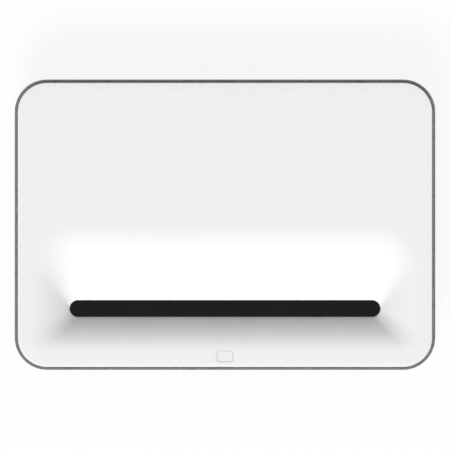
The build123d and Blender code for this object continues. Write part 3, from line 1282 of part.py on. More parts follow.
def drive_chassis():
    x = (DRIVE_BACK, DRIVE_FRONT)
    half = DRIVE_WIDTH / 2
    y = (DRIVE_Y - half, DRIVE_Y + half)
    w = DRIVE_WALL
    frame = block(x, y, (INNER_FLOOR, DRIVE_TOP))
    frame -= block((x[0] + w, x[1] + 1), (y[0] + w, y[1] - w), (CHASSIS_FLOOR, DRIVE_TOP + 1))
    deck_half = DECK_WIDTH / 2 + 2
    frame -= block(
        (x[0] + w + 8, DISC_X + SPINDLE_MOTOR_RADIUS + 12),
        (DRIVE_Y - deck_half, DRIVE_Y + deck_half),
        (INNER_FLOOR - 1, CHASSIS_FLOOR + 1),
    )
    for side in (-1, 1):
        rail_in = DRIVE_Y + side * (TRAY_WIDTH / 2 - 3.5)
        rail_out = DRIVE_Y + side * (half - w / 2)
        limits = sorted((rail_in, rail_out))
        top_in = DRIVE_Y + side * (TRAY_WIDTH / 2 - 1.5)
        top = sorted((top_in, rail_out))
        frame += block((x[0] + 4, x[1] - 2), top, (TRAY_Z + TRAY_THICKNESS + FIT_GAP, TRAY_Z + TRAY_THICKNESS + 3))
        frame += block((x[0] + 4, x[1] - 2), limits, (TRAY_Z - FIT_GAP - 2, TRAY_Z - FIT_GAP))
    for side in (-1, 1):
        ear_y = DRIVE_Y + side * (DECK_WIDTH / 2 + 4)
        ear = block((x[0] + w, x[0] + w + 8), (ear_y - 2, ear_y + 2), (INNER_FLOOR, deck_pivot_z() + 4))
        frame += ear - rod_y(deck_pivot_x(), (ear_y - 3, ear_y + 3), deck_pivot_z(), DECK_PIVOT + SHAFT_GAP)
    for (px, py), top in ((rack_gear_place(), RACK_GEAR_Z[1] - 1), (pulley_place(), LARGE_GEAR_Z[1] + 1)):
        frame += pillar(px, py, GEAR_PIN, (INNER_FLOOR + 1, top))
        frame += pillar(px, py, GEAR_PIN + 1.5, (INNER_FLOOR + 1, PULLEY_Z[0] - FIT_GAP))
    gx, gy = rack_gear_place()
    frame += pillar(gx, gy, GEAR_PIN + 1.5, (INNER_FLOOR + 1, LARGE_GEAR_Z[0] - FIT_GAP))
    mx, my = loading_motor_place()
    shelf_z = motor_shelf_z()
    shelf_y = (my - MOTOR_SHELF, my + MOTOR_SHELF)
    shelf = block((mx - MOTOR_SHELF, mx + MOTOR_SHELF), shelf_y, shelf_z)
    shelf += block((mx - MOTOR_SHELF, mx - MOTOR_SHELF + 2), shelf_y, (INNER_FLOOR + 1, shelf_z[1]))
    frame += shelf - pillar(mx, my, LOADING_MOTOR_RADIUS / 2, (shelf_z[0] - 1, shelf_z[1] + 1))
    bridge_z = (DRIVE_TOP - BRIDGE_THICKNESS, DRIVE_TOP)
    for side in (-1, 1):
        seat_y = sorted((DRIVE_Y + side * (half - w - 6), DRIVE_Y + side * (half - w / 2)))
        frame += block((DISC_X - 10, DISC_X + 10), seat_y, (bridge_z[0] - 3, bridge_z[0]))
    return frame


def deck_pivot_x():
    return DRIVE_BACK + DRIVE_WALL + 4


def deck_pivot_z():
    return DECK_Z + DECK_THICKNESS / 2


def clamp_bridge():
    half = DRIVE_WIDTH / 2 - DRIVE_WALL - FIT_GAP
    z = (DRIVE_TOP - BRIDGE_THICKNESS, DRIVE_TOP)
    bridge = block((DISC_X - BRIDGE_WIDTH / 2, DISC_X + BRIDGE_WIDTH / 2), (DRIVE_Y - half, DRIVE_Y + half), z)
    bridge = fillet(bridge.edges().filter_by(Axis.Z), 5)
    return bridge - pillar(DISC_X, DRIVE_Y, CLAMP_HUB + MOVE_GAP, (z[0] - 1, z[1] + 1))


def clamp_puck():
    z = DRIVE_TOP + FIT_GAP
    puck = pillar(DISC_X, DRIVE_Y, CLAMP_RADIUS, (z, z + 1.6))
    puck += pillar(DISC_X, DRIVE_Y, CLAMP_HUB, (CLAMP_LOW, z))
    return puck - pillar(DISC_X, DRIVE_Y, TURNTABLE_HUB + 0.4, (CLAMP_LOW - 1, CLAMP_LOW + 2))


def disc_tray():
    x = (DRIVE_BACK + TRAY_REAR_CLEAR, DRIVE_FRONT + 1)
    half = TRAY_WIDTH / 2
    tray = block(x, (DRIVE_Y - half, DRIVE_Y + half), (TRAY_Z, TRAY_Z + TRAY_THICKNESS))
    tray = fillet(tray.edges().filter_by(Axis.Z), 4)
    neck = TRAY_FACE[0] / 2 - 12
    tray += block((x[1] - 8, tray_face_x()[0]), (DRIVE_Y - neck, DRIVE_Y + neck), (TRAY_Z, TRAY_Z + TRAY_THICKNESS))
    top = TRAY_Z + TRAY_THICKNESS
    tray -= pillar(DISC_X, DRIVE_Y, DISC_RADIUS + DISC_EDGE_GAP, (top - DISC_WELL, top + 1))
    tray -= pillar(DISC_X, DRIVE_Y, DISC_RADIUS / 2 + 11, (top - DISC_WELL - 0.6, top + 1))
    slot = SPINDLE_SLOT / 2
    tray -= block((x[0] - 1, DISC_X), (DRIVE_Y - slot, DRIVE_Y + slot), (TRAY_Z - 1, top + 1))
    tray -= pillar(DISC_X, DRIVE_Y, slot, (TRAY_Z - 1, top + 1))
    gear_x = rack_gear_place()[0]
    start = gear_x - TRAY_TRAVEL - 2 * math.pi * GEAR_MODULE
    steps = math.floor((gear_x - start) / (math.pi * GEAR_MODULE))
    first = gear_x - steps * math.pi * GEAR_MODULE
    outline = rack_outline(first, gear_x - first + 3 * math.pi * GEAR_MODULE, GEAR_MODULE, RACK_BACK)
    return tray + Pos(0, DRIVE_Y + RACK_Y, RACK_Z[0]) * extrude(outline, RACK_DROP)


def tray_face_x():
    outer = WIDTH / 2 - 0.2
    return outer - TRAY_FACE[2], outer


def tray_front():
    middle = TRAY_Z + TRAY_THICKNESS / 2
    half_y, half_z = TRAY_FACE[0] / 2, TRAY_FACE[1] / 2
    face = block(tray_face_x(), (DRIVE_Y - half_y, DRIVE_Y + half_y), (middle - half_z, middle + half_z))
    return fillet(face.edges().filter_by(Axis.X), 2.5)


def disc_trim():
    """Trim in the right wall, round the tray's front and the eject button."""
    y, z = trim_limits()
    g = FIT_GAP
    outer = WIDTH / 2 - 0.2
    trim = block((outer - TRIM_DEPTH, outer), (y[0] + g, y[1] - g), (z[0] + g, z[1] - g))
    trim = fillet(trim.edges().filter_by(Axis.X), 2)
    middle = TRAY_Z + TRAY_THICKNESS / 2
    half_y, half_z = TRAY_FACE[0] / 2 + g, TRAY_FACE[1] / 2 + g
    through = (outer - TRIM_DEPTH - 1, outer + 1)
    trim -= block(through, (DRIVE_Y - half_y, DRIVE_Y + half_y), (middle - half_z, middle + half_z))
    ey = eject_y()
    ex, ez = EJECT_SIZE[0] / 2 + g, EJECT_SIZE[1] / 2 + g
    return trim - block(through, (ey - ex, ey + ex), (middle - ez, middle + ez))


def eject_y():
    return DRIVE_Y + TRAY_FACE[0] / 2 + FIT_GAP + TRIM_WALL / 2 + EJECT_SIZE[0] / 2 + 1


def eject_button():
    outer = WIDTH / 2 - 0.2
    middle = TRAY_Z + TRAY_THICKNESS / 2
    y = (eject_y() - EJECT_SIZE[0] / 2, eject_y() + EJECT_SIZE[0] / 2)
    z = (middle - EJECT_SIZE[1] / 2, middle + EJECT_SIZE[1] / 2)
    cap = block((outer - 4, outer), y, z)
    cap = fillet(cap.edges().filter_by(Axis.X), 1.5)
    return cap + rod_x((eject_switch_x() + EJECT_TRAVEL + 0.1, outer - 4), eject_y(), middle, EJECT_STEM)


def eject_switch_x():
    return WIDTH / 2 - 0.2 - TRIM_DEPTH - 3.0


def eject_board():
    """Switch board behind the eject button, on two pegs of the trim."""
    middle = TRAY_Z + TRAY_THICKNESS / 2
    x = eject_switch_x()
    y = (eject_y() - 8, eject_y() + 8)
    board = block((x - 5, x - 5 + BOARD), y, (middle - 8, middle + 8))
    board += block((x - 5 + BOARD, x), (eject_y() - 3, eject_y() + 3), (middle - 3, middle + 3))
    for side in (-1, 1):
        board += rod_x((x - 5, WIDTH / 2 - 0.2 - TRIM_DEPTH), eject_y(), middle + side * 6, 1.2)
    return board


def deck():
    """Swinging deck that carries the spindle, the pickup's rods and the sled motor."""
    x = (deck_pivot_x() + 3, DISC_X + SPINDLE_MOTOR_RADIUS + 6)
    half = DECK_WIDTH / 2
    z = (DECK_Z, DECK_Z + DECK_THICKNESS)
    plate = block(x, (DRIVE_Y - half, DRIVE_Y + half), z)
    plate = fillet(plate.edges().filter_by(Axis.Z), 3)
    plate -= block((x[0] + 12, DISC_X - 18), (DRIVE_Y - half + 14, DRIVE_Y + half - 14), (z[0] - 1, z[1] + 1))
    plate += rod_y(deck_pivot_x(), (DRIVE_Y - half - 7, DRIVE_Y + half + 7), deck_pivot_z(), DECK_PIVOT)
    plate += block((deck_pivot_x(), x[0] + 1), (DRIVE_Y - half + 4, DRIVE_Y + half - 4), z)
    rod_z = PICKUP_Z + PICKUP_SIZE[2] / 2
    for end in (rod_limits()[0], rod_limits()[1] - 4):
        for side in (-1, 1):
            y = DRIVE_Y + side * ROD_SPREAD
            plate += block((end, end + 4), (y - 3, y + 3), (z[1] - 0.5, rod_z + 3))
    screw_y = DRIVE_Y - LEADSCREW_OFFSET
    plate += block((rod_limits()[1] - 4, rod_limits()[1]), (screw_y - 3, screw_y + 3), (z[1] - 0.5, rod_z + 3))
    plate -= rod_x((rod_limits()[0] - 1, rod_limits()[1] + 1), DRIVE_Y - ROD_SPREAD, rod_z, ROD_RADIUS + 0.01)
    plate -= rod_x((rod_limits()[0] - 1, rod_limits()[1] + 1), DRIVE_Y + ROD_SPREAD, rod_z, ROD_RADIUS + 0.01)
    return plate - rod_x((rod_limits()[0], rod_limits()[1] + 1), screw_y, rod_z, LEADSCREW_RADIUS + SHAFT_GAP)


def rod_limits():
    """X limits of the rods that guide the pickup."""
    inner = DISC_X - SPINDLE_MOTOR_RADIUS - 3
    return inner - PICKUP_SIZE[0] - PICKUP_TRAVEL - 10, inner


def pickup_place():
    """X limits of the pickup in its innermost place."""
    high = rod_limits()[1] - 4 - MOVE_GAP
    return high - PICKUP_SIZE[0], high


def deck_parts():
    rod_z = PICKUP_Z + PICKUP_SIZE[2] / 2
    limits = rod_limits()
    rods = group([rod_x(limits, DRIVE_Y + side * ROD_SPREAD, rod_z, ROD_RADIUS) for side in (-1, 1)])
    top = DECK_Z + DECK_THICKNESS
    spindle = pillar(DISC_X, DRIVE_Y, SPINDLE_MOTOR_RADIUS, (top, TURNTABLE_SEAT - TURNTABLE_THICKNESS - MOVE_GAP))
    spindle -= pillar(DISC_X, DRIVE_Y, SPINDLE_SHAFT + SHAFT_GAP, (top + 1, TRAY_Z + 10))
    table = pillar(DISC_X, DRIVE_Y, TURNTABLE_RADIUS, (TURNTABLE_SEAT - TURNTABLE_THICKNESS, TURNTABLE_SEAT))
    table += pillar(DISC_X, DRIVE_Y, TURNTABLE_HUB, (TURNTABLE_SEAT, TURNTABLE_SEAT + 2))
    table += pillar(DISC_X, DRIVE_Y, SPINDLE_SHAFT, (top + 2, TURNTABLE_SEAT))
    px = pickup_place()
    half = PICKUP_SIZE[1] / 2
    z = (PICKUP_Z, PICKUP_Z + PICKUP_SIZE[2])
    pickup = block(px, (DRIVE_Y - half, DRIVE_Y + half), z)
    for side in (-1, 1):
        pickup -= rod_x((px[0] - 1, px[1] + 1), DRIVE_Y + side * ROD_SPREAD, rod_z, ROD_RADIUS + SHAFT_GAP)
    lens_x = px[1] - PICKUP_LENS - 1
    pickup += pillar(lens_x, DRIVE_Y, PICKUP_LENS, (z[1], z[1] + 3))
    screw_y = DRIVE_Y - LEADSCREW_OFFSET
    nut = block((lens_x - 4, lens_x + 4), (screw_y - 3.4, DRIVE_Y - half), z)
    pickup += nut - rod_x((lens_x - 5, lens_x + 5), screw_y, rod_z, LEADSCREW_RADIUS + 0.1)
    motor_x = (limits[0] - 9, limits[0] + 3)
    motor = rod_x(motor_x, screw_y, rod_z, 5.0)
    motor += block(motor_x, (screw_y - 5, screw_y + 5), (top, rod_z))
    motor -= rod_x((motor_x[1] - 5, motor_x[1] + 1), screw_y, rod_z, LEADSCREW_RADIUS + SHAFT_GAP)
    screw = rod_x((motor_x[1] - 4, limits[1] + 1), screw_y, rod_z, LEADSCREW_RADIUS)
    return {
        "guide_rods": rods,
        "deck_motors": group([spindle, motor]),
        "turntable": table,
        "optical_pickup": pickup,
        "lead_screw": screw,
    }


def loading_train():
    gx, gy = rack_gear_place()
    px, py = pulley_place()
    mx, my = loading_motor_place()
    bearing = math.radians(PULLEY_BEARING)
    rack_turn = math.pi / 2 + math.pi / RACK_GEAR_TEETH
    rack_gear = gear_outline(RACK_GEAR_TEETH, GEAR_MODULE, rack_turn)
    gear = Pos(gx, gy, RACK_GEAR_Z[0]) * extrude(rack_gear, RACK_GEAR_Z[1] - RACK_GEAR_Z[0])
    large = gear_outline(LARGE_GEAR_TEETH, GEAR_MODULE, bearing)
    gear += Pos(gx, gy, LARGE_GEAR_Z[0]) * extrude(large, LARGE_GEAR_Z[1] - LARGE_GEAR_Z[0])
    gear -= pillar(gx, gy, GEAR_PIN + SHAFT_GAP, (INNER_FLOOR, TRAY_Z))
    small_turn = bearing + math.pi + math.pi / SMALL_GEAR_TEETH
    small = gear_outline(SMALL_GEAR_TEETH, GEAR_MODULE, small_turn)
    pulley = Pos(px, py, PULLEY_Z[1]) * extrude(small, LARGE_GEAR_Z[1] - PULLEY_Z[1])
    pulley += grooved(px, py, PULLEY_RADIUS, PULLEY_Z)
    pulley -= pillar(px, py, GEAR_PIN + SHAFT_GAP, (INNER_FLOOR, TRAY_Z))
    drive = grooved(mx, my, MOTOR_PULLEY_RADIUS, PULLEY_Z)
    drive += pillar(mx, my, LOADING_SHAFT, (PULLEY_Z[1], motor_shelf_z()[1] + 5))
    return {
        "tray_gear": gear,
        "belt_pulley": pulley,
        "motor_pulley": drive,
        "loading_belt": belt(),
    }


def motor_shelf_z():
    """Z limits of the shelf that the loading motor stands on, above its pulley."""
    low = PULLEY_Z[1] + FIT_GAP
    return low, low + SHELF


def loading_motor():
    x, y = loading_motor_place()
    low = motor_shelf_z()[1]
    can = pillar(x, y, LOADING_MOTOR_RADIUS, (low, low + LOADING_MOTOR_HEIGHT))
    return can - pillar(x, y, LOADING_SHAFT + SHAFT_GAP, (low - 1, low + 6))


def grooved(x, y, radius, z):
    """Pulley with a square groove for the belt half way up."""
    middle = (z[0] + z[1]) / 2
    wheel = pillar(x, y, radius + BELT, z)
    groove = pillar(x, y, radius + BELT + 1, (middle - BELT / 2 - BELT_GAP, middle + BELT / 2 + BELT_GAP))
    return wheel - (groove - pillar(x, y, radius, z))


def belt():
    """Open belt round the two pulleys: outer loop less inner loop."""
    px, py = pulley_place()
    mx, my = loading_motor_place()
    middle = sum(PULLEY_Z) / 2
    z = (middle - BELT / 2, middle + BELT / 2)
    outer = belt_loop(px, py, mx, my, BELT + BELT_GAP - 0.1)
    inner = belt_loop(px, py, mx, my, BELT_GAP)
    return Pos(0, 0, z[0]) * extrude(outer - inner, z[1] - z[0])


def belt_loop(px, py, mx, my, grow):
    """Face inside a line drawn tight round both pulleys, grown by a distance."""
    big, small = PULLEY_RADIUS + grow, MOTOR_PULLEY_RADIUS + grow
    distance = math.hypot(mx - px, my - py)
    heading = math.atan2(my - py, mx - px)
    lean = math.acos((big - small) / distance)
    corners = []
    for sign in (1, -1):
        angle = heading + sign * lean
        corners.append((px + big * math.cos(angle), py + big * math.sin(angle)))
        corners.append((mx + small * math.cos(angle), my + small * math.sin(angle)))
    quad = make_face(Polyline(corners[0], corners[1], corners[3], corners[2], close=True))
    return quad + Pos(px, py) * Circle(big) + Pos(mx, my) * Circle(small)


# ================================================================== everything
def build():
    nodes = {
        "base_pan": base_pan(),
        "top_cover": top_cover(),
        "fabric_wrap": fabric_wrap(),
        "window_glass": window_glass(),
        "light_shroud": light_shroud(),
        "case_screws": case_screws(),
        "power_button": power_button(),
        "heat_pipes": heat_pipes(),
        "data_sockets": group([ethernet_socket()] + [socket(place) for place in USB + HDMI]),
        "audio_sockets": audio_sockets(),
        "power_inlet": power_inlet(),
        "port_panel": port_panel(),
        "main_board": main_board(),
        "power_supply": power_supply(),
        "drive_chassis": drive_chassis(),
        "clamp_bridge": clamp_bridge(),
        "clamp_puck": clamp_puck(),
        "disc_tray": disc_tray(),
        "tray_front": tray_front(),
        "disc_trim": disc_trim(),
        "eject_button": eject_button(),
        "small_boards": group([button_board(), eject_board(), imaging_board()]),
        "heatsinks": group([laser_heatsink(), imaging_heatsink()]),
        "small_motors": group([focus_motor(), phosphor_motor(), loading_motor()]),
        "drive_deck": deck(),
        "engine_housing": engine_housing(),
    }
    for made in (grille_frames(), feet(), lens(), mirror(), laser(), fans(), speakers()):
        nodes.update(made)
    nodes.update(deck_parts())
    nodes.update(loading_train())
    return nodes


os.makedirs("parts", exist_ok=True)
for name, shape in build().items():
    export_step(shape, os.path.join("parts", name + ".step"))
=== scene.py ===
import math

import bmesh
import bpy
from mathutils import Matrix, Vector
from mathutils.geometry import delaunay_2d_cdt

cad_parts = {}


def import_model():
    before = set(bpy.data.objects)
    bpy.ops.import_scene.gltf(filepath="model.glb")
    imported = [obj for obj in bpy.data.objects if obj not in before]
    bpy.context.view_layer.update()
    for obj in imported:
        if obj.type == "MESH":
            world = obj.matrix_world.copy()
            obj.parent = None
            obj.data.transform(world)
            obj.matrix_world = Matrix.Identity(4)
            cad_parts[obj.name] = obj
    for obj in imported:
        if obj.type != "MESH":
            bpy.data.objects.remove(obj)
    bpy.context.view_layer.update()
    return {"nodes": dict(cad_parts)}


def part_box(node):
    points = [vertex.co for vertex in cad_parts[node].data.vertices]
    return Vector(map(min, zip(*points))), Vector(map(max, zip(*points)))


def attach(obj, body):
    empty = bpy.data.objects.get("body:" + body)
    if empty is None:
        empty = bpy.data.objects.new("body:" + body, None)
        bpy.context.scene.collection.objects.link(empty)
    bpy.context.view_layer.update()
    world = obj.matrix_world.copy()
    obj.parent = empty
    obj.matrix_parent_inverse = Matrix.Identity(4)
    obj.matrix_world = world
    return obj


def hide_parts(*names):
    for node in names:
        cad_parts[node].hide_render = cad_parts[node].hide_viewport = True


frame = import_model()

# The looks of an ultra-short-throw projector with a disc player, seen from straight above.
# Lengths in meshes are in millimetres, and become metres where a mesh is made.
# Lengths in materials, WELD and the camera's places are in metres.
MM = 0.001
WELD = 1e-7
FLAT_WELD = 1e-4

# ------------------------------------------------------------------ sizes of the shell
WIDTH = 533.0
DEPTH = 368.0
TOP = 107.0
CORNER = 41.0
RIM_SHOWN = 3.9
OUTER_X = WIDTH / 2
OUTER_Y = DEPTH / 2

# cloth sleeve, with the openings for the port panel and the disc trim
FABRIC = 0.8
FABRIC_EDGE = 1.3
FABRIC_LOW = 10.8
FABRIC_HIGH = 103.2
FABRIC_SEAM_X = 170.0
STOP_SPACING = 9.0
CORNER_STEPS = 16
FABRIC_EDGE_STEPS = 6
SLEEVE_LEVELS = (14, 18, 32, 38.5, 45, 60, 67, 76, 90)
TUCK = ((0.9, 0.0), (0.45, 0.1))
PANEL_X = (-182.0, 116.0)
PANEL_Z = (50.0, 84.0)
TRIM_Y = (-35.3, 142.3)
TRIM_Z = (25.2, 51.8)
WALL_DEPTH = 1.0

# stitches of the seam: offset of each row from the seam, and the end of a thread
STITCH_ROWS = (-1.8, 1.8)
STITCH_START = 2.4
STITCH_STOP = 2.0
STITCH_LENGTH = 2.1
STITCH_PITCH = 2.9
THREAD_RADIUS = 0.16
THREAD_SIDES = 8
THREAD_END = ((0.25, 0.0), (0.8, 0.25), (1.0, 0.6))

# top cover
COVER_X = OUTER_X - RIM_SHOWN
COVER_Y = OUTER_Y - RIM_SHOWN
COVER_CORNER = CORNER - RIM_SHOWN
COVER_WALL = 2.6
COVER_LOW = 102.4
COVER_EDGE = 1.2
COVER_EDGE_STEPS = 7
COVER_FOOT = 0.3
CROWN_DROP = 0.5
CROWN_WIDTH = 14.0
CROWN_INSETS = (2.2, 3.4, 4.8, 6.6, 8.8, 11.4, 14.2)
UNDERSIDE = TOP - COVER_WALL
SHARP_DEGREES = 40

# light slot and the scoop round it: the corners are the front and the rear radius at the rim
SLOT_Y = -106.4
SLOT_LENGTH = 394.6
SLOT_WIDTH = 21.3
SLOT_RADIUS = SLOT_WIDTH / 2 - 0.01
SLOT_LIP = 0.25
SCOOP_DEPTH = 26.0
SCOOP_FRONT = 42.0
SCOOP_REAR = 94.0
SCOOP_SIDE = 54.0
SCOOP_CORNERS = (22.0, 58.0)
SCOOP_POWER = 2.2
SCOOP_SIDE_POWER = 2.3
SCOOP_REAR_POWER = 1.75
SCOOP_RINGS = 44
RING_SPACING = 1.8

# button's opening: length, width and corner radius, and the area round it that has no crown rings
BUTTON_Y = -166.6
BUTTON_TOP = 106.9
BUTTON_LENGTH = 20.3
BUTTON_WIDTH = 14.0
BUTTON_CORNER = 3.5
BUTTON_LIP = 0.35
BUTTON_LIP_STEPS = 3
BUTTON_HOLE_FOOT = 0.2
BUTTON_CLEAR = (12.5, 9.2)

# posts under the cover: x, y, low end, top of the bore, high end
BOSS_RADIUS = 4.5
BOSS_BORE = 1.56
BOSS_SIDES = 32
BOSSES = [(x, y, 60.0, 73.0, 105.0) for x in (-240, 240) for y in (-156, 156)]
BOSSES += [(x, SLOT_Y, 76.1, 82.1, 87.6) for x in (-209.3, 209.3)]
BUTTON_POST_RADIUS = 2.2
BUTTON_POST_BORE = 0.6
BUTTON_POST_SIDES = 24
BUTTON_POSTS = [(x, BUTTON_Y, 100.2, 101.0, UNDERSIDE + 0.6) for x in (-12.5, 12.5)]

# symbols on the buttons: half the stroke's width, and how far a mark is sunk and stands proud
STROKE = 0.22
MARK_SUNK = 0.05
POWER_RADIUS = 2.1
POWER_GAP = 38
POWER_BAR = (0.5, 1.5, 2.5)
POWER_PROUD = 0.02
EJECT_HALF = 1.5
EJECT_LINE = -1.2
EJECT_LOW = -0.45
EJECT_TIP = 1.35
EJECT_PROUD = 0.05

# sockets: x, number of contacts, pitch, and height of the tongue's middle
SOCKETS = [(x, 4, 2.0, 66.1) for x in (0, 20)] + [(x, 9, 0.8, 65.6) for x in (46, 68, 90)]
CONTACT_SHARE = 0.28
CONTACT_Y = (166.0, 175.7)
CONTACT_INNER = 0.6
CONTACT_OUTER = 0.82
CONTACT_EDGE = 0.04
INLET_X = -158.0
INLET_Z = 66.9
PIN_PLACES = ((-7.0, -1.5), (0.0, 2.0), (7.0, -1.5))
PIN_HALF = (1.1, 2.1)
PIN_Y = (162.5, 172.2)
PIN_EDGE = 0.3


# ------------------------------------------------------------------ node helpers
class Finish:
    """One procedural material, with short calls for the nodes that it is made of."""

    def __init__(self, name, colour, roughness, metallic=0.0, specular=0.5):
        self.material = bpy.data.materials.new(name)
        self.material.use_nodes = True
        self.tree = self.material.node_tree
        self.shader = self.tree.nodes["Principled BSDF"]
        self.set("Base Color", (*colour, 1.0))
        self.set("Roughness", roughness)
        self.set("Metallic", metallic)
        self.set("Specular IOR Level", specular)
        self.material.diffuse_color = (*colour, 1.0)

    def set(self, name, value):
        self.shader.inputs[name].default_value = value

    def node(self, kind, inputs=(), **settings):
        made = self.tree.nodes.new("ShaderNode" + kind)
        for key, value in settings.items():
            setattr(made, key, value)
        for key, value in inputs:
            self.feed(made.inputs[key], value)
        return made

    def feed(self, socket, value):
        if isinstance(value, bpy.types.NodeSocket):
            self.tree.links.new(value, socket)
        else:
            socket.default_value = value

    def place(self, stretch=(1, 1, 1), shift=(0, 0, 0)):
        """The point on the object in metres, stretched and shifted."""
        point = self.node("TexCoord").outputs["Object"]
        return self.mapped(point, stretch, shift)

    def mapped(self, vector, stretch, shift=(0, 0, 0)):
        inputs = [("Vector", vector), ("Scale", stretch), ("Location", shift)]
        return self.node("Mapping", inputs).outputs["Vector"]

    def noise(self, scale, detail, where=None, distortion=0.0):
        where = where or self.place()
        inputs = [("Vector", where), ("Scale", scale), ("Detail", detail), ("Distortion", distortion)]
        return self.node("TexNoise", inputs).outputs["Fac"]

    def cells(self, scale, feature="F1", output="Distance"):
        inputs = [("Vector", self.place()), ("Scale", scale)]
        return self.node("TexVoronoi", inputs, feature=feature).outputs[output]

    def maths(self, operation, a, b=0.0):
        return self.node("Math", [(0, a), (1, b)], operation=operation).outputs[0]

    def ranged(self, value, low, high, start=0.0, end=1.0):
        """The value, from start to end, turned into low to high."""
        inputs = [("Value", value), ("From Min", start), ("From Max", end)]
        inputs += [("To Min", low), ("To Max", high)]
        return self.node("MapRange", inputs).outputs["Result"]

    def blend(self, factor, a, b):
        """Colour a where the factor is 0 and colour b where it is 1."""
        mixed = self.node("Mix", data_type="RGBA")
        for index, value in ((0, factor), (6, a), (7, b)):
            if isinstance(value, tuple):
                value = (*value, 1.0)
            self.feed(mixed.inputs[index], value)
        return mixed.outputs[2]

    def either(self, factor, a, b):
        """Number a where the factor is 0 and number b where it is 1."""
        return self.node("Mix", [(0, factor), (2, a), (3, b)], data_type="FLOAT").outputs[0]

    def colour(self, value):
        self.feed(self.shader.inputs["Base Color"], value)

    def rough(self, value):
        self.feed(self.shader.inputs["Roughness"], value)

    def bump(self, height, distance, strength, after=None):
        inputs = [("Height", height), ("Distance", distance), ("Strength", strength)]
        if after:
            inputs.append(("Normal", after))
        normal = self.node("Bump", inputs).outputs["Normal"]
        self.feed(self.shader.inputs["Normal"], normal)
        return normal

    def split(self, vector):
        return self.node("SeparateXYZ", [("Vector", vector)]).outputs


# ------------------------------------------------------------------ finishes
def moulded(name, pale, dark, roughness, grain=0.0006, depth=0.00002, specular=0.45):
    """Moulded plastic: slow drift of tone, fine eroded texture, and gloss that follows both."""
    f = Finish(name, pale, roughness, specular=specular)
    drift = f.noise(14, 3)
    speck = f.noise(1 / grain, 4, f.place(shift=(1.3, 0.7, 0.2)))
    f.colour(f.blend(f.ranged(drift, 0, 1, 0.3, 0.7), pale, dark))
    f.rough(f.ranged(f.maths("ADD", drift, speck), roughness - 0.06, roughness + 0.06, 0.6, 1.4))
    f.bump(speck, depth, 0.6)
    return f


def metal(name, pale, dark, roughness, stretch=(1, 1, 1), streak=1500):
    """Metal with streaks along the direction that the stretch leaves long."""
    f = Finish(name, pale, roughness, metallic=1.0)
    lines = f.noise(streak, 5, f.place(stretch))
    drift = f.noise(22, 4)
    f.colour(f.blend(f.ranged(f.maths("ADD", lines, drift), 0, 1, 0.7, 1.3), pale, dark))
    f.rough(f.ranged(lines, roughness - 0.1, roughness + 0.1, 0.3, 0.7))
    f.bump(lines, 0.000012, 0.5)
    return f


def cover_finish(name, roughness):
    pale, dark = (0.905, 0.905, 0.905), (0.893, 0.893, 0.893)
    return moulded(name, pale, dark, roughness, 0.0007, 0.000012, 0.4)


def fabric_finish():
    """Plain weave of heathered grey yarns, with painted shade where the weave sinks and painted
    highlight on the yarns' crowns. U runs round the body and V up the side, in metres.
    """
    f = Finish("fabric_weave", (0.22, 0.22, 0.222), 0.9, specular=0.2)
    pitch = 0.00075
    yarn_stretch = 90
    uv = f.node("UVMap").outputs["UV"]
    u, v = f.split(uv)[0], f.split(uv)[1]
    across, along = f.maths("DIVIDE", u, pitch), f.maths("DIVIDE", v, pitch)
    warp_lift = f.maths("ABSOLUTE", f.maths("SINE", f.maths("MULTIPLY", across, math.pi)))
    weft_lift = f.maths("ABSOLUTE", f.maths("SINE", f.maths("MULTIPLY", along, math.pi)))
    crossing = f.maths("ADD", f.maths("FLOOR", across), f.maths("FLOOR", along))
    on_top = f.maths("PINGPONG", crossing, 1.0)

    def raised(lift, other):
        return f.maths("MULTIPLY", lift, f.maths("ADD", f.maths("MULTIPLY", other, 0.5), 0.5))

    crown_warp = raised(warp_lift, weft_lift)
    crown_weft = raised(weft_lift, warp_lift)
    height = f.either(on_top, crown_weft, crown_warp)
    warp_tone = f.noise(1.0, 3, f.mapped(uv, (1 / pitch, yarn_stretch, 1)))
    weft_tone = f.noise(1.0, 3, f.mapped(uv, (yarn_stretch, 1 / pitch, 1)))
    slub = f.ranged(f.noise(420, 3), -0.07, 0.07, 0.3, 0.7)
    tone = f.maths("ADD", f.either(on_top, weft_tone, warp_tone), slub)
    yarn = f.blend(f.ranged(tone, 0, 1, 0.33, 0.67), (0.14, 0.14, 0.143), (0.34, 0.34, 0.342))
    # Painted shade and highlight: the yarns' colour is darkened where the weave sinks between them
    # and lightened on their crowns.
    painted_shade_and_highlight = f.ranged(height, 0.62, 1.08)
    grey = f.node("CombineColor", [(0, painted_shade_and_highlight), (1, painted_shade_and_highlight), (2, painted_shade_and_highlight)]).outputs[0]
    inputs = [(0, 1.0), (6, yarn), (7, grey)]
    f.colour(f.node("Mix", inputs, data_type="RGBA", blend_type="MULTIPLY").outputs[2])
    fuzz = f.noise(5200, 3)
    f.set("Sheen Weight", 0.25)
    f.set("Sheen Roughness", 0.5)
    f.rough(f.ranged(fuzz, 0.82, 0.97, 0.3, 0.7))
    first = f.bump(height, 0.00022, 0.7)
    f.bump(fuzz, 0.00004, 0.5, first)
    return f


def glass_finish():
    """Black coated window: nearly no mirror image, faint dust and a wipe mark in its gloss."""
    black = (0.0022, 0.0022, 0.0024)
    f = Finish("smoked_glass", black, 0.14, specular=0.15)
    dust = f.noise(900, 6)
    wipe = f.noise(30, 3, f.place((1, 6, 1)))
    f.colour(f.blend(f.ranged(dust, 0, 1, 0.66, 0.8), black, (0.009, 0.009, 0.009)))
    f.rough(f.ranged(wipe, 0.1, 0.2, 0.35, 0.65))
    return f


def lacquer_finish():
    """Glossy black front of the disc player, with fine swirls in its gloss."""
    f = Finish("gloss_black", (0.012, 0.012, 0.013), 0.16, specular=0.28)
    swirl = f.noise(380, 5, f.place((1, 1, 4)), 1.5)
    f.colour(f.blend(f.ranged(swirl, 0, 1, 0.35, 0.75), (0.011, 0.011, 0.012), (0.019, 0.019, 0.02)))
    f.rough(f.ranged(swirl, 0.1, 0.24, 0.3, 0.7))
    return f


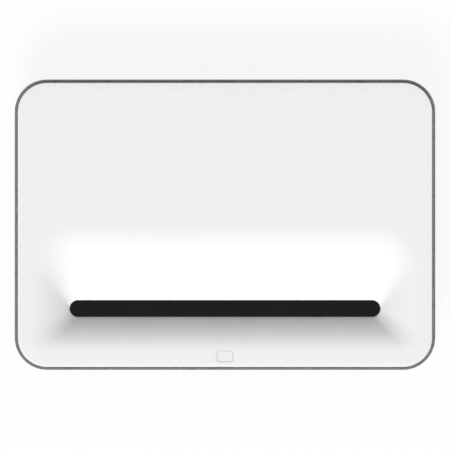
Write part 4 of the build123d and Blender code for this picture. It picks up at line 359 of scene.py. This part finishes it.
def rubber_finish():
    """Black rubber with a coarse grain, and pale dust in it."""
    f = Finish("rubber", (0.045, 0.045, 0.045), 0.8, specular=0.3)
    grain = f.noise(1700, 5)
    dust = f.noise(140, 4)
    f.colour(f.blend(f.ranged(dust, 0, 1, 0.45, 0.75), (0.04, 0.04, 0.041), (0.085, 0.083, 0.08)))
    f.rough(f.ranged(grain, 0.7, 0.9, 0.3, 0.7))
    f.bump(grain, 0.00004, 0.7)
    return f


def acetal_finish():
    """Pale gear plastic with flow lines, a little translucent."""
    f = Finish("pale_plastic", (0.8, 0.79, 0.74), 0.4)
    flow = f.noise(60, 4, f.place((1, 1, 3)))
    f.colour(f.blend(f.ranged(flow, 0, 1, 0.3, 0.7), (0.82, 0.81, 0.77), (0.75, 0.74, 0.68)))
    f.rough(f.ranged(flow, 0.34, 0.46, 0.3, 0.7))
    f.bump(f.noise(1300, 3), 0.000012, 0.5)
    f.set("Subsurface Weight", 0.12)
    f.set("Subsurface Radius", (0.002, 0.002, 0.0016))
    return f


def board_finish(name, top, mask, package):
    """Circuit board: solder mask with fine tracks up to the board's top, dark packages above it."""
    f = Finish(name, mask, 0.4)
    height = f.split(f.place())[2]
    above = f.maths("GREATER_THAN", height, top * MM + 0.00015)
    tracks = f.cells(260, feature="DISTANCE_TO_EDGE")
    copper = f.maths("LESS_THAN", tracks, 0.05)
    pale_mask = tuple(min(1.0, c * 1.9) for c in mask)
    surface = f.blend(copper, mask, pale_mask)
    package_tone = f.split(f.cells(70, output="Color"))[0]
    mixed = f.blend(f.ranged(package_tone, 0, 1, 0.72, 0.78), package, (0.42, 0.42, 0.43))
    f.colour(f.blend(above, surface, mixed))
    f.rough(f.ranged(f.noise(500, 3), 0.3, 0.55, 0.3, 0.7))
    f.bump(copper, 0.00003, 0.5)
    return f


def phosphor_finish():
    """Metal disc whose outer band is coated yellow."""
    f = Finish("phosphor", (0.8, 0.8, 0.8), 0.25)
    band_start = 0.0115
    low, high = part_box("phosphor_wheel")
    middle = (low + high) / 2
    _, y, z = f.split(f.place(shift=tuple(-c for c in middle)))
    squares = f.maths("ADD", f.maths("MULTIPLY", y, y), f.maths("MULTIPLY", z, z))
    band = f.maths("GREATER_THAN", f.maths("SQRT", squares), band_start)
    powder = f.noise(2400, 4)
    yellow = f.blend(f.ranged(powder, 0, 1, 0.3, 0.7), (0.86, 0.74, 0.1), (0.7, 0.58, 0.05))
    f.colour(f.blend(band, (0.75, 0.75, 0.76), yellow))
    f.feed(f.shader.inputs["Metallic"], f.ranged(band, 1.0, 0.0))
    f.rough(f.ranged(band, 0.22, 0.75))
    f.bump(powder, 0.00002, 0.5)
    return f


def optical_glass():
    """Clear lens glass with a violet coating."""
    f = Finish("clear_glass", (0.93, 0.96, 0.97), 0.03)
    f.set("Transmission Weight", 0.9)
    f.set("Coat Weight", 0.4)
    f.set("Coat Tint", (0.62, 0.55, 0.9, 1.0))
    f.rough(f.ranged(f.noise(200, 3), 0.015, 0.05, 0.3, 0.7))
    return f


def mirror_finish():
    """Bright mirror with a faint haze."""
    f = Finish("mirror", (0.86, 0.87, 0.89), 0.04, metallic=1.0)
    haze = f.noise(45, 4)
    f.colour(f.blend(f.ranged(haze, 0, 1, 0.3, 0.7), (0.87, 0.88, 0.9), (0.82, 0.83, 0.85)))
    f.rough(f.ranged(haze, 0.02, 0.07, 0.3, 0.7))
    return f


def cone_finish():
    """Dark paper of a loudspeaker's cone, with its fibres."""
    f = Finish("cone_paper", (0.05, 0.05, 0.052), 0.75)
    fibre = f.noise(900, 6, distortion=1.2)
    f.colour(f.blend(f.ranged(fibre, 0, 1, 0.35, 0.65), (0.04, 0.04, 0.042), (0.075, 0.075, 0.078)))
    f.rough(f.ranged(fibre, 0.62, 0.88, 0.3, 0.7))
    f.bump(fibre, 0.00005, 0.7)
    return f


COVER = cover_finish("cover_white", 0.46)
BUTTON = cover_finish("button_white", 0.4)
CLOTH = fabric_finish()
GLASS = glass_finish()
FRAME = moulded("frame_plastic", (0.085, 0.085, 0.088), (0.07, 0.07, 0.073), 0.62, 0.0009, 0.00003)
BASE = moulded("base_plastic", (0.19, 0.19, 0.193), (0.165, 0.165, 0.168), 0.6, 0.0011, 0.00005)
BLACK = moulded("black_plastic", (0.022, 0.022, 0.023), (0.017, 0.017, 0.018), 0.42, 0.0008)
LACQUER = lacquer_finish()
TRAY = moulded("tray_plastic", (0.05, 0.05, 0.052), (0.042, 0.042, 0.044), 0.4, 0.0008, specular=0.4)
FOOT = moulded("foot_plastic", (0.03, 0.03, 0.031), (0.022, 0.022, 0.023), 0.5, depth=0.00003)
ACETAL = acetal_finish()
RUBBER = rubber_finish()
SCREW = metal("screw_steel", (0.16, 0.16, 0.165), (0.11, 0.11, 0.112), 0.38, (1, 1, 6))
BRIGHT = metal("bright_steel", (0.74, 0.74, 0.76), (0.62, 0.62, 0.64), 0.22, (0.05, 1, 1))
SHEET = metal("sheet_steel", (0.62, 0.63, 0.64), (0.52, 0.53, 0.545), 0.38, (0.25, 1, 1), 420)
MOTOR = metal("motor_steel", (0.52, 0.52, 0.54), (0.43, 0.43, 0.45), 0.34, (1, 1, 0.1))
CAST = metal("cast_aluminium", (0.6, 0.6, 0.61), (0.5, 0.5, 0.51), 0.5, streak=800)
FIN = metal("fin_aluminium", (0.78, 0.78, 0.79), (0.66, 0.66, 0.67), 0.32, (1, 0.08, 1), 900)
COPPER = metal("copper", (0.78, 0.4, 0.26), (0.58, 0.29, 0.19), 0.34, (0.3, 1, 1), 500)
BRASS = metal("brass", (0.8, 0.62, 0.27), (0.64, 0.48, 0.2), 0.3, (1, 1, 0.2))
GOLD = metal("gold_contacts", (0.92, 0.7, 0.3), (0.8, 0.58, 0.22), 0.25, (1, 0.2, 1))

# Height of each board's top. Small boards stand at several heights, and get the mask all over.
MAIN_BOARD_TOP = 62.6
SUPPLY_TOP = 23.0
ABOVE_EVERYTHING = 300.0
MAIN_BOARD = board_finish("main_board", MAIN_BOARD_TOP, (0.012, 0.075, 0.04), (0.018, 0.018, 0.02))
SUPPLY = board_finish("supply_board", SUPPLY_TOP, (0.2, 0.13, 0.05), (0.03, 0.03, 0.032))
SMALL_BOARD = board_finish("small_board", ABOVE_EVERYTHING, (0.012, 0.07, 0.04), (0.02, 0.02, 0.02))
PHOSPHOR = phosphor_finish()
OPTICS = optical_glass()
MIRROR = mirror_finish()
CONE = cone_finish()
SYMBOL = moulded("faint_print", (0.79, 0.79, 0.79), (0.77, 0.77, 0.77), 0.45)
PRINT = moulded("pale_print", (0.62, 0.62, 0.62), (0.58, 0.58, 0.58), 0.5)

NODE_FINISH = {
    "audio_sockets": BLACK, "base_pan": BASE, "belt_pulley": ACETAL, "case_screws": SCREW,
    "clamp_bridge": SHEET, "clamp_puck": BLACK, "data_sockets": SHEET, "deck_motors": MOTOR,
    "disc_tray": TRAY, "disc_trim": LACQUER, "drive_chassis": BLACK, "drive_deck": SHEET,
    "eject_button": LACQUER, "engine_housing": CAST, "exhaust_fan_rotor_front": BLACK,
    "exhaust_fan_rotor_rear": BLACK, "fan_frames": BLACK, "focus_pinion": ACETAL,
    "focus_ring": FOOT, "foot_pad_left": RUBBER, "foot_pad_right": RUBBER,
    "foot_screw_left": FOOT, "foot_screw_right": FOOT, "grille_frame_front": FRAME,
    "grille_frame_left": FRAME, "grille_frame_rear": FRAME, "grille_frame_right": FRAME,
    "guide_rods": BRIGHT, "heat_pipes": COPPER, "heatsinks": FIN, "intake_fan_rotor": BLACK,
    "laser_housing": CAST, "laser_optics": BRASS, "lead_screw": BRIGHT, "lens_barrel": BLACK,
    "lens_glasses": OPTICS, "light_shroud": BLACK, "loading_belt": RUBBER,
    "main_board": MAIN_BOARD, "mirror": MIRROR, "mirror_bracket": CAST, "motor_pulley": BRASS,
    "optical_pickup": BLACK, "phosphor_wheel": PHOSPHOR, "port_panel": BLACK,
    "power_button": BUTTON, "power_inlet": BLACK, "power_supply": SUPPLY, "rear_feet": RUBBER,
    "small_boards": SMALL_BOARD, "small_motors": MOTOR, "speaker_boxes": BLACK,
    "speaker_drivers": MOTOR, "top_cover": COVER, "tray_front": LACQUER, "tray_gear": ACETAL,
    "turntable": BLACK, "window_glass": GLASS, "woofer_cones": CONE, "fabric_wrap": CLOTH,
}
for name, node in frame["nodes"].items():
    node.data.materials.clear()
    node.data.materials.append(NODE_FINISH[name].material)


# ------------------------------------------------------------------ mesh helpers
def piece(name, mesh, body, finish, smooth=True):
    """Makes a mesh object of the bmesh, in its finish, riding on the body."""
    bmesh.ops.remove_doubles(mesh, verts=mesh.verts, dist=WELD)
    bmesh.ops.recalc_face_normals(mesh, faces=mesh.faces)
    data = bpy.data.meshes.new(name)
    mesh.to_mesh(data)
    mesh.free()
    data.materials.append(finish.material)
    data.polygons.foreach_set("use_smooth", [smooth] * len(data.polygons))
    made = bpy.data.objects.new(name, data)
    bpy.context.scene.collection.objects.link(made)
    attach(made, body)
    return made


def ring(half_x, low_y, high_y, front, arc=14, along=46, deep=18, rear=None):
    """Points anticlockwise round a rounded rectangle, always as many for the same counts.

    The corners have the front radius at low_y and the rear radius at high_y. An arc has the
    given number of steps, and so have the straight sides along x and the deep ones along y.
    """
    points = []
    rear = rear or front
    corners = (
        (half_x - front, low_y + front, -90, front),
        (half_x - rear, high_y - rear, 0, rear),
        (rear - half_x, high_y - rear, 90, rear),
        (front - half_x, low_y + front, 180, front),
    )
    for index, (x, y, start, radius) in enumerate(corners):
        for step in range(arc + 1):
            angle = math.radians(start + 90 * step / arc)
            points.append((x + radius * math.cos(angle), y + radius * math.sin(angle)))
        next_x, next_y, next_start, next_radius = corners[(index + 1) % 4]
        angle = math.radians(next_start)
        target = (next_x + next_radius * math.cos(angle), next_y + next_radius * math.sin(angle))
        count = deep if index % 2 == 0 else along
        here = points[-1]
        for step in range(1, count):
            share = step / count
            points.append(tuple(a + (b - a) * share for a, b in zip(here, target)))
    return points


def lofted(mesh, rings):
    """Faces between rings of equally many points. Returns the rows of vertices."""
    rows = [[mesh.verts.new(Vector(p) * MM) for p in points] for points in rings]
    for lower, upper in zip(rows, rows[1:]):
        count = len(lower)
        for i in range(count):
            j = (i + 1) % count
            mesh.faces.new((lower[i], lower[j], upper[j], upper[i]))
    return rows


def capped(mesh, rings):
    """Faces between the rings, and one over each end."""
    rows = lofted(mesh, rings)
    mesh.faces.new(rows[0])
    mesh.faces.new(rows[-1])


def circle(x, y, z, radius, sides):
    turns = [2 * math.pi * i / sides for i in range(sides)]
    return [(x + radius * math.cos(a), y + radius * math.sin(a), z) for a in turns]


def post(mesh, x, y, outer, inner, low, bore_top, high, sides):
    """Upright post with a blind bore from below."""
    rows = [(inner, bore_top), (inner, low), (outer, low), (outer, high)]
    capped(mesh, [circle(x, y, z, radius, sides) for radius, z in rows])


def quarter_turn(radius, steps):
    """Inset and fall at each step of a rounded edge, from flat on top to upright."""
    turns = [math.radians(90 * step / steps) for step in range(1, steps + 1)]
    return [(radius * (1 - math.sin(t)), radius * (1 - math.cos(t))) for t in turns]


def lengths_along(points):
    """Distance from the first point to each point."""
    lengths = [0.0]
    for a, b in zip(points, points[1:]):
        lengths.append(lengths[-1] + math.hypot(b[0] - a[0], b[1] - a[1]))
    return lengths


def inside(loop, x, y):
    """Whether the point is inside the closed loop."""
    found = False
    for (x0, y0), (x1, y1) in zip(loop, loop[1:] + loop[:1]):
        if (y0 > y) != (y1 > y) and x < (x1 - x0) * (y - y0) / (y1 - y0) + x0:
            found = not found
    return found


def drop_loose_points(mesh):
    loose = [v for v in mesh.verts if not v.link_faces]
    bmesh.ops.delete(mesh, geom=loose, context="VERTS")


# ------------------------------------------------------------------ top cover
def from_edge(x, y):
    """Distance inside the cover's outline, in millimetres."""
    over_x = abs(x) - (COVER_X - COVER_CORNER)
    over_y = abs(y) - (COVER_Y - COVER_CORNER)
    if over_x > 0 and over_y > 0:
        return COVER_CORNER - math.hypot(over_x, over_y)
    return min(COVER_X - abs(x), COVER_Y - abs(y))


def crown(x, y):
    """Height of the cover's top, which falls away a little towards its edge."""
    near = max(0.0, CROWN_WIDTH - max(0.0, from_edge(x, y)))
    return TOP - CROWN_DROP * (near / CROWN_WIDTH) ** 2


def cover_ring(inset):
    return ring(COVER_X - inset, inset - COVER_Y, COVER_Y - inset, COVER_CORNER - inset)


def button_ring(grow):
    half_x, half_y = BUTTON_LENGTH / 2 + grow, BUTTON_WIDTH / 2 + grow
    low, high = BUTTON_Y - half_y, BUTTON_Y + half_y
    return ring(half_x, low, high, BUTTON_CORNER + grow, arc=8, along=8, deep=6)


def scoop_ring(step):
    """Outline and depth of the scoop: step 0 is the slot's edge and step 1 the outer rim."""
    level = (1 - step) ** RING_SPACING
    share = 1 - level ** (1 / SCOOP_POWER)
    rear_share = 1 - level ** (1 / SCOOP_REAR_POWER)
    low = SLOT_Y - SLOT_WIDTH / 2 - SCOOP_FRONT * share
    high = SLOT_Y + SLOT_WIDTH / 2 + SCOOP_REAR * rear_share
    half = SLOT_LENGTH / 2 + SCOOP_SIDE * (1 - level ** (1 / SCOOP_SIDE_POWER))
    open_share = (share + rear_share) / 2
    front, rear = (SLOT_RADIUS + (r - SLOT_RADIUS) * open_share for r in SCOOP_CORNERS)
    return ring(half, low, high, front, rear=rear), level


def scoop(mesh):
    """Both faces of the scoop and the slot's wall. Returns the outline of the scoop's rim."""
    top_rings = []
    for index in range(SCOOP_RINGS + 1):
        points, level = scoop_ring(index / SCOOP_RINGS)
        lip = SLOT_LIP if index == 0 else 0.0
        top_rings.append([(x, y, crown(x, y) - SCOOP_DEPTH * level - lip) for x, y in points])
    bottom_rings = [[(x, y, z - COVER_WALL) for x, y, z in points] for points in top_rings]
    lofted(mesh, [bottom_rings[0], top_rings[0]])
    lofted(mesh, top_rings)
    lofted(mesh, bottom_rings)
    return [(x, y) for x, y, _ in top_rings[-1]]


def flat_faces(rim, outline, hole):
    """Points and triangles of the flat between the rim of the scoop, the edge and the hole."""
    points, edges = [], []
    for loop in (rim, outline, hole):
        start = len(points)
        points += loop
        edges += [(start + i, start + (i + 1) % len(loop)) for i in range(len(loop))]
    for inset in CROWN_INSETS:
        for x, y in cover_ring(inset):
            if abs(x) > BUTTON_CLEAR[0] or abs(y - BUTTON_Y) > BUTTON_CLEAR[1]:
                points.append((x, y))
    found = delaunay_2d_cdt([Vector(p) for p in points], edges, [], 0, FLAT_WELD)
    flat, triangles = [tuple(p) for p in found[0]], found[2]
    kept = []
    for face in triangles:
        x = sum(flat[i][0] for i in face) / len(face)
        y = sum(flat[i][1] for i in face) / len(face)
        if from_edge(x, y) < COVER_EDGE or inside(rim, x, y) or inside(hole, x, y):
            continue
        kept.append(face)
    return flat, kept


def cover_shell():
    """The cover as one shell with posts under it, finer than the solid that it stands for."""
    mesh = bmesh.new()
    rim = scoop(mesh)
    outline = cover_ring(COVER_EDGE)
    hole = button_ring(BUTTON_LIP)
    flat, faces = flat_faces(rim, outline, hole)
    for height in (crown, lambda x, y: UNDERSIDE):
        verts = [mesh.verts.new(Vector((x, y, height(x, y))) * MM) for x, y in flat]
        for face in faces:
            mesh.faces.new([verts[i] for i in face])

    hole_rings = [[(x, y, crown(x, y)) for x, y in hole]]
    for grow, fall in quarter_turn(BUTTON_LIP, BUTTON_LIP_STEPS):
        hole_rings.append([(x, y, crown(x, y) - fall) for x, y in button_ring(grow)])
    hole_rings.append([(x, y, UNDERSIDE + BUTTON_HOLE_FOOT) for x, y in button_ring(0)])
    hole_rings.append([(x, y, UNDERSIDE) for x, y in hole])
    lofted(mesh, hole_rings)

    edge_rings = [[(x, y, crown(x, y)) for x, y in outline]]
    for inset, fall in quarter_turn(COVER_EDGE, COVER_EDGE_STEPS):
        edge_rings.append([(x, y, crown(x, y) - fall) for x, y in cover_ring(inset)])
    foot = ((0.0, COVER_LOW + COVER_FOOT), (COVER_FOOT, COVER_LOW), (COVER_EDGE, COVER_LOW))
    for inset, z in foot:
        edge_rings.append([(x, y, z) for x, y in cover_ring(inset)])
    edge_rings.append([(x, y, UNDERSIDE) for x, y in outline])
    lofted(mesh, edge_rings)
    drop_loose_points(mesh)

    for x, y, low, bore, high in BOSSES:
        post(mesh, x, y, BOSS_RADIUS, BOSS_BORE, low, bore, high, BOSS_SIDES)
    for x, y, low, bore, high in BUTTON_POSTS:
        post(mesh, x, y, BUTTON_POST_RADIUS, BUTTON_POST_BORE, low, bore, high, BUTTON_POST_SIDES)
    made = piece("cover_shell", mesh, "root", COVER)
    made.data.set_sharp_from_angle(angle=math.radians(SHARP_DEGREES))
    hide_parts("top_cover")


# ------------------------------------------------------------------ fabric round the body
def perimeter():
    """Points round the body from the seam at the back, each with its outward normal."""
    straight_x, straight_y = OUTER_X - CORNER, OUTER_Y - CORNER
    stops = []

    def run(start, end, extra, fixed, axis, normal):
        count = max(2, round(abs(end - start) / STOP_SPACING))
        values = {round(start + (end - start) * i / count, 4) for i in range(count + 1)}
        values |= set(extra)
        for value in sorted(values, reverse=end < start):
            point = (value, fixed) if axis == 0 else (fixed, value)
            stops.append((point, normal))

    def corner(x, y, start):
        for step in range(1, CORNER_STEPS):
            angle = math.radians(start + 90 * step / CORNER_STEPS)
            normal = (math.cos(angle), math.sin(angle))
            stops.append(((x + CORNER * normal[0], y + CORNER * normal[1]), normal))

    run(FABRIC_SEAM_X, -straight_x, PANEL_X, OUTER_Y, 0, (0, 1))
    corner(-straight_x, straight_y, 90)
    run(straight_y, -straight_y, (), -OUTER_X, 1, (-1, 0))
    corner(-straight_x, -straight_y, 180)
    run(-straight_x, straight_x, (), -OUTER_Y, 0, (0, -1))
    corner(straight_x, -straight_y, 270)
    run(-straight_y, straight_y, TRIM_Y, OUTER_X, 1, (1, 0))
    corner(straight_x, straight_y, 0)
    run(straight_x, FABRIC_SEAM_X, (), OUTER_Y, 0, (0, 1))
    return stops


def sleeve_profile():
    """Inset and height, from the hem up and over the rim to its inner edge."""
    levels = {FABRIC_LOW, *SLEEVE_LEVELS, *TRIM_Z, *PANEL_Z}
    rows = [(0.0, z) for z in sorted(levels)]
    for step in range(FABRIC_EDGE_STEPS + 1):
        turn = math.radians(90 * step / FABRIC_EDGE_STEPS)
        inset = FABRIC_EDGE * (1 - math.cos(turn))
        rows.append((inset, FABRIC_HIGH - FABRIC_EDGE * (1 - math.sin(turn))))
    rows += [(RIM_SHOWN - back, FABRIC_HIGH - fall) for back, fall in TUCK]
    return rows


def in_opening(x, y, z):
    """Whether a point of the wall is in the opening for the port panel or the disc trim."""
    at_back, at_side = y > OUTER_Y - WALL_DEPTH, x > OUTER_X - WALL_DEPTH
    panel = at_back and PANEL_X[0] < x < PANEL_X[1] and PANEL_Z[0] < z < PANEL_Z[1]
    trim = at_side and TRIM_Y[0] < y < TRIM_Y[1] and TRIM_Z[0] < z < TRIM_Z[1]
    return panel or trim


def thicken(made):
    """Gives the sheet the cloth's thickness, inwards."""
    solid = made.modifiers.new("thickness", "SOLIDIFY")
    solid.thickness = FABRIC * MM
    solid.offset = -1
    solid.use_even_offset = True
    bpy.context.view_layer.objects.active = made
    made.select_set(True)
    bpy.ops.object.modifier_apply(modifier="thickness")
    made.select_set(False)


def fabric_sleeve():
    """The cloth round the body, with its openings, and its UV map in metres for the weave."""
    mesh = bmesh.new()
    uv = mesh.loops.layers.uv.new("UVMap")
    stops = perimeter()
    profile = sleeve_profile()
    around = lengths_along([point for point, _ in stops])
    up = lengths_along(profile)
    grid = []
    for (x, y), (nx, ny) in stops[:-1]:
        column = [Vector((x - nx * inset, y - ny * inset, z)) * MM for inset, z in profile]
        grid.append([mesh.verts.new(point) for point in column])
    columns = len(grid)
    for i in range(columns):
        following = grid[(i + 1) % columns]
        for j in range(len(profile) - 1):
            corners = (grid[i][j], following[j], following[j + 1], grid[i][j + 1])
            middle = sum((v.co for v in corners), Vector()) / 4 / MM
            if in_opening(*middle):
                continue
            face = mesh.faces.new(corners)
            steps = ((i, j), (i + 1, j), (i + 1, j + 1), (i, j + 1))
            for loop, (a, b) in zip(face.loops, steps):
                loop[uv].uv = (around[a] * MM, up[b] * MM)
    drop_loose_points(mesh)
    made = piece("fabric_sleeve", mesh, "root", CLOTH)
    thicken(made)
    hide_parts("fabric_wrap")


def stitch(mesh, x, y, low, high):
    """Short round-ended thread that lies on the cloth."""
    rows = [(share, low + rise) for share, rise in THREAD_END]
    rows += [(share, high - rise) for share, rise in reversed(THREAD_END)]
    capped(mesh, [circle(x, y, z, THREAD_RADIUS * share, THREAD_SIDES) for share, z in rows])


def fabric_seam():
    """Two rows of stitches up the back of the sleeve."""
    mesh = bmesh.new()
    for side in STITCH_ROWS:
        z = FABRIC_LOW + STITCH_START
        while z < FABRIC_HIGH - FABRIC_EDGE - STITCH_STOP:
            stitch(mesh, FABRIC_SEAM_X + side, OUTER_Y, z, z + STITCH_LENGTH)
            z += STITCH_PITCH
    piece("fabric_seam", mesh, "root", CLOTH)


# ------------------------------------------------------------------ marks on the buttons
def band(mesh, points, low, high, plane):
    """Flat stroke along the points. The plane maps (u, v, w) to x, y, z."""
    rows = []
    for index, (u, v) in enumerate(points):
        before, after = points[max(0, index - 1)], points[min(len(points) - 1, index + 1)]
        du, dv = after[0] - before[0], after[1] - before[1]
        size = math.hypot(du, dv)
        nu, nv = -dv / size * STROKE, du / size * STROKE
        left, right = (u - nu, v - nv), (u + nu, v + nv)
        corners = ((*left, low), (*right, low), (*right, high), (*left, high))
        rows.append([plane(*c) for c in corners])
    capped(mesh, rows)


def power_symbol():
    """Open circle with a bar in its gap, on the power button."""
    mesh = bmesh.new()
    low, high = BUTTON_TOP - MARK_SUNK, BUTTON_TOP + POWER_PROUD

    def plane(u, v, w):
        return (u, BUTTON_Y + v, w)

    turns = [math.radians(a) for a in range(POWER_GAP, 361 - POWER_GAP, 6)]
    arc = [(POWER_RADIUS * math.sin(t), POWER_RADIUS * math.cos(t)) for t in turns]
    band(mesh, arc, low, high, plane)
    band(mesh, [(0, v) for v in POWER_BAR], low, high, plane)
    piece("power_symbol", mesh, "power_button", SYMBOL, smooth=False)


def eject_symbol():
    """Triangle over a line, on the eject button."""
    mesh = bmesh.new()
    box_low, box_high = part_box("eject_button")
    middle_y = (box_low.y + box_high.y) / 2 / MM
    middle_z = (box_low.z + box_high.z) / 2 / MM
    face = box_high.x / MM
    low, high = face - MARK_SUNK, face + EJECT_PROUD

    def plane(u, v, w):
        return (w, middle_y + u, middle_z + v)

    band(mesh, [(-EJECT_HALF, EJECT_LINE), (EJECT_HALF, EJECT_LINE)], low, high, plane)
    triangle = ((-EJECT_HALF, EJECT_LOW), (EJECT_HALF, EJECT_LOW), (0, EJECT_TIP))
    capped(mesh, [[plane(u, v, w) for u, v in triangle] for w in (low, high)])
    piece("eject_symbol", mesh, "eject_button", PRINT, smooth=False)


# ------------------------------------------------------------------ contacts in the sockets
def bar(mesh, x, y, z, edge):
    """Small contact with broken edges, between the limits given for each axis."""
    made = bmesh.ops.create_cube(mesh, size=1.0)["verts"]
    for vert in made:
        limits = zip(vert.co, (x, y, z))
        vert.co = [(low + high) / 2 * MM + c * (high - low) * MM for c, (low, high) in limits]
    edges = {e for v in made for e in v.link_edges}
    bmesh.ops.bevel(mesh, geom=list(edges), offset=edge * MM, segments=2, affect="EDGES")


def socket_contacts():
    """Gold springs on both faces of the data sockets' tongues."""
    mesh = bmesh.new()
    for socket_x, count, pitch, middle in SOCKETS:
        half = pitch * CONTACT_SHARE
        above = (middle + CONTACT_INNER, middle + CONTACT_OUTER)
        below = (middle - CONTACT_OUTER, middle - CONTACT_INNER)
        for index in range(count):
            x = socket_x + (index - (count - 1) / 2) * pitch
            for z_limits in (above, below):
                bar(mesh, (x - half, x + half), CONTACT_Y, z_limits, CONTACT_EDGE)
    piece("socket_contacts", mesh, "root", GOLD, smooth=False)


def inlet_pins():
    """Nickel-bright sleeves over the three blades of the mains inlet."""
    mesh = bmesh.new()
    half_x, half_z = PIN_HALF
    for dx, dz in PIN_PLACES:
        x, z = INLET_X + dx, INLET_Z + dz
        bar(mesh, (x - half_x, x + half_x), PIN_Y, (z - half_z, z + half_z), PIN_EDGE)
    piece("inlet_pins", mesh, "root", BRIGHT, smooth=False)


cover_shell()
fabric_sleeve()
fabric_seam()
power_symbol()
eject_symbol()
socket_contacts()
inlet_pins()

# ------------------------------------------------------------------ stage, lights and camera
FLOOR_SIZE = 4.0
FLOOR_Z = -0.0002
FLOOR_GLOW = 0.9
WORLD_STRENGTH = 0.235
KEY_STRENGTH = 2.76
KEY_FROM = (-0.13, -0.58, 0.8)
KEY_SPREAD = 26
PHOTO_PIXELS = 450
PIXEL_SIZE = 1.2681
SENSOR = 36.0
CAMERA_DISTANCE = 12.0
CAMERA_REACH = 40.0
CAMERA_Y = -0.0004
SCALE_Z = 0.0965


def shown_background(tree):
    """1 where a ray comes from the camera, or by way of gloss or glass, and 0 elsewhere."""
    path = tree.nodes.new("ShaderNodeLightPath")
    found = path.outputs["Is Camera Ray"]
    for kind in ("Is Glossy Ray", "Is Transmission Ray"):
        either = tree.nodes.new("ShaderNodeMath")
        either.operation = "MAXIMUM"
        tree.links.new(found, either.inputs[0])
        tree.links.new(path.outputs[kind], either.inputs[1])
        found = either.outputs[0]
    return found


def mixed_shader(tree, factor, first, second):
    mixed = tree.nodes.new("ShaderNodeMixShader")
    for socket, value in zip(mixed.inputs, (factor, first, second)):
        tree.links.new(value, socket)
    return mixed.outputs[0]


def stage():
    """Pale floor that looks white to the camera, keeps a soft shadow, and is open from below."""
    mesh = bmesh.new()
    bmesh.ops.create_grid(mesh, x_segments=8, y_segments=8, size=FLOOR_SIZE)
    data = bpy.data.meshes.new("floor")
    mesh.to_mesh(data)
    mesh.free()
    floor = bpy.data.objects.new("floor", data)
    floor.location.z = FLOOR_Z
    bpy.context.scene.collection.objects.link(floor)
    material = bpy.data.materials.new("floor_white")
    material.use_nodes = True
    tree = material.node_tree
    diffuse = tree.nodes["Principled BSDF"]
    diffuse.inputs["Base Color"].default_value = (0.97, 0.97, 0.97, 1)
    diffuse.inputs["Roughness"].default_value = 0.9
    glow = tree.nodes.new("ShaderNodeEmission")
    share = tree.nodes.new("ShaderNodeMath")
    share.operation = "MULTIPLY"
    share.inputs[1].default_value = FLOOR_GLOW
    tree.links.new(shown_background(tree), share.inputs[0])
    pale = mixed_shader(tree, share.outputs[0], diffuse.outputs[0], glow.outputs[0])
    back = tree.nodes.new("ShaderNodeNewGeometry").outputs["Backfacing"]
    clear = tree.nodes.new("ShaderNodeBsdfTransparent").outputs[0]
    surface = mixed_shader(tree, back, pale, clear)
    tree.links.new(surface, tree.nodes["Material Output"].inputs["Surface"])
    data.materials.append(material)


def world():
    """Even light from all round, and a white background behind everything."""
    made = bpy.data.worlds.new("studio")
    bpy.context.scene.world = made
    made.use_nodes = True
    tree = made.node_tree
    soft = tree.nodes["Background"]
    soft.inputs["Color"].default_value = (1, 1, 1, 1)
    soft.inputs["Strength"].default_value = WORLD_STRENGTH
    white = tree.nodes.new("ShaderNodeBackground")
    white.inputs["Color"].default_value = (1, 1, 1, 1)
    surface = mixed_shader(tree, shown_background(tree), soft.outputs[0], white.outputs[0])
    tree.links.new(surface, tree.nodes["World Output"].inputs["Surface"])


def key_light():
    """Soft sun from the front, a little from the left."""
    data = bpy.data.lights.new("key", "SUN")
    data.energy = KEY_STRENGTH
    data.angle = math.radians(KEY_SPREAD)
    lamp = bpy.data.objects.new("key", data)
    lamp.rotation_mode = "QUATERNION"
    lamp.rotation_quaternion = Vector(KEY_FROM).to_track_quat("Z", "Y")
    bpy.context.scene.collection.objects.link(lamp)


def camera():
    """Looks straight down from far off. At SCALE_Z, a pixel is PIXEL_SIZE millimetres wide."""
    data = bpy.data.cameras.new("camera")
    data.sensor_width = SENSOR
    data.lens = SENSOR * CAMERA_DISTANCE / (PHOTO_PIXELS * PIXEL_SIZE * MM)
    data.clip_end = CAMERA_REACH
    made = bpy.data.objects.new("camera", data)
    made.location = (0.0, CAMERA_Y, CAMERA_DISTANCE + SCALE_Z)
    bpy.context.scene.collection.objects.link(made)
    bpy.context.scene.camera = made


stage()
world()
key_light()
camera()
bpy.context.scene.view_settings.view_transform = "Standard"
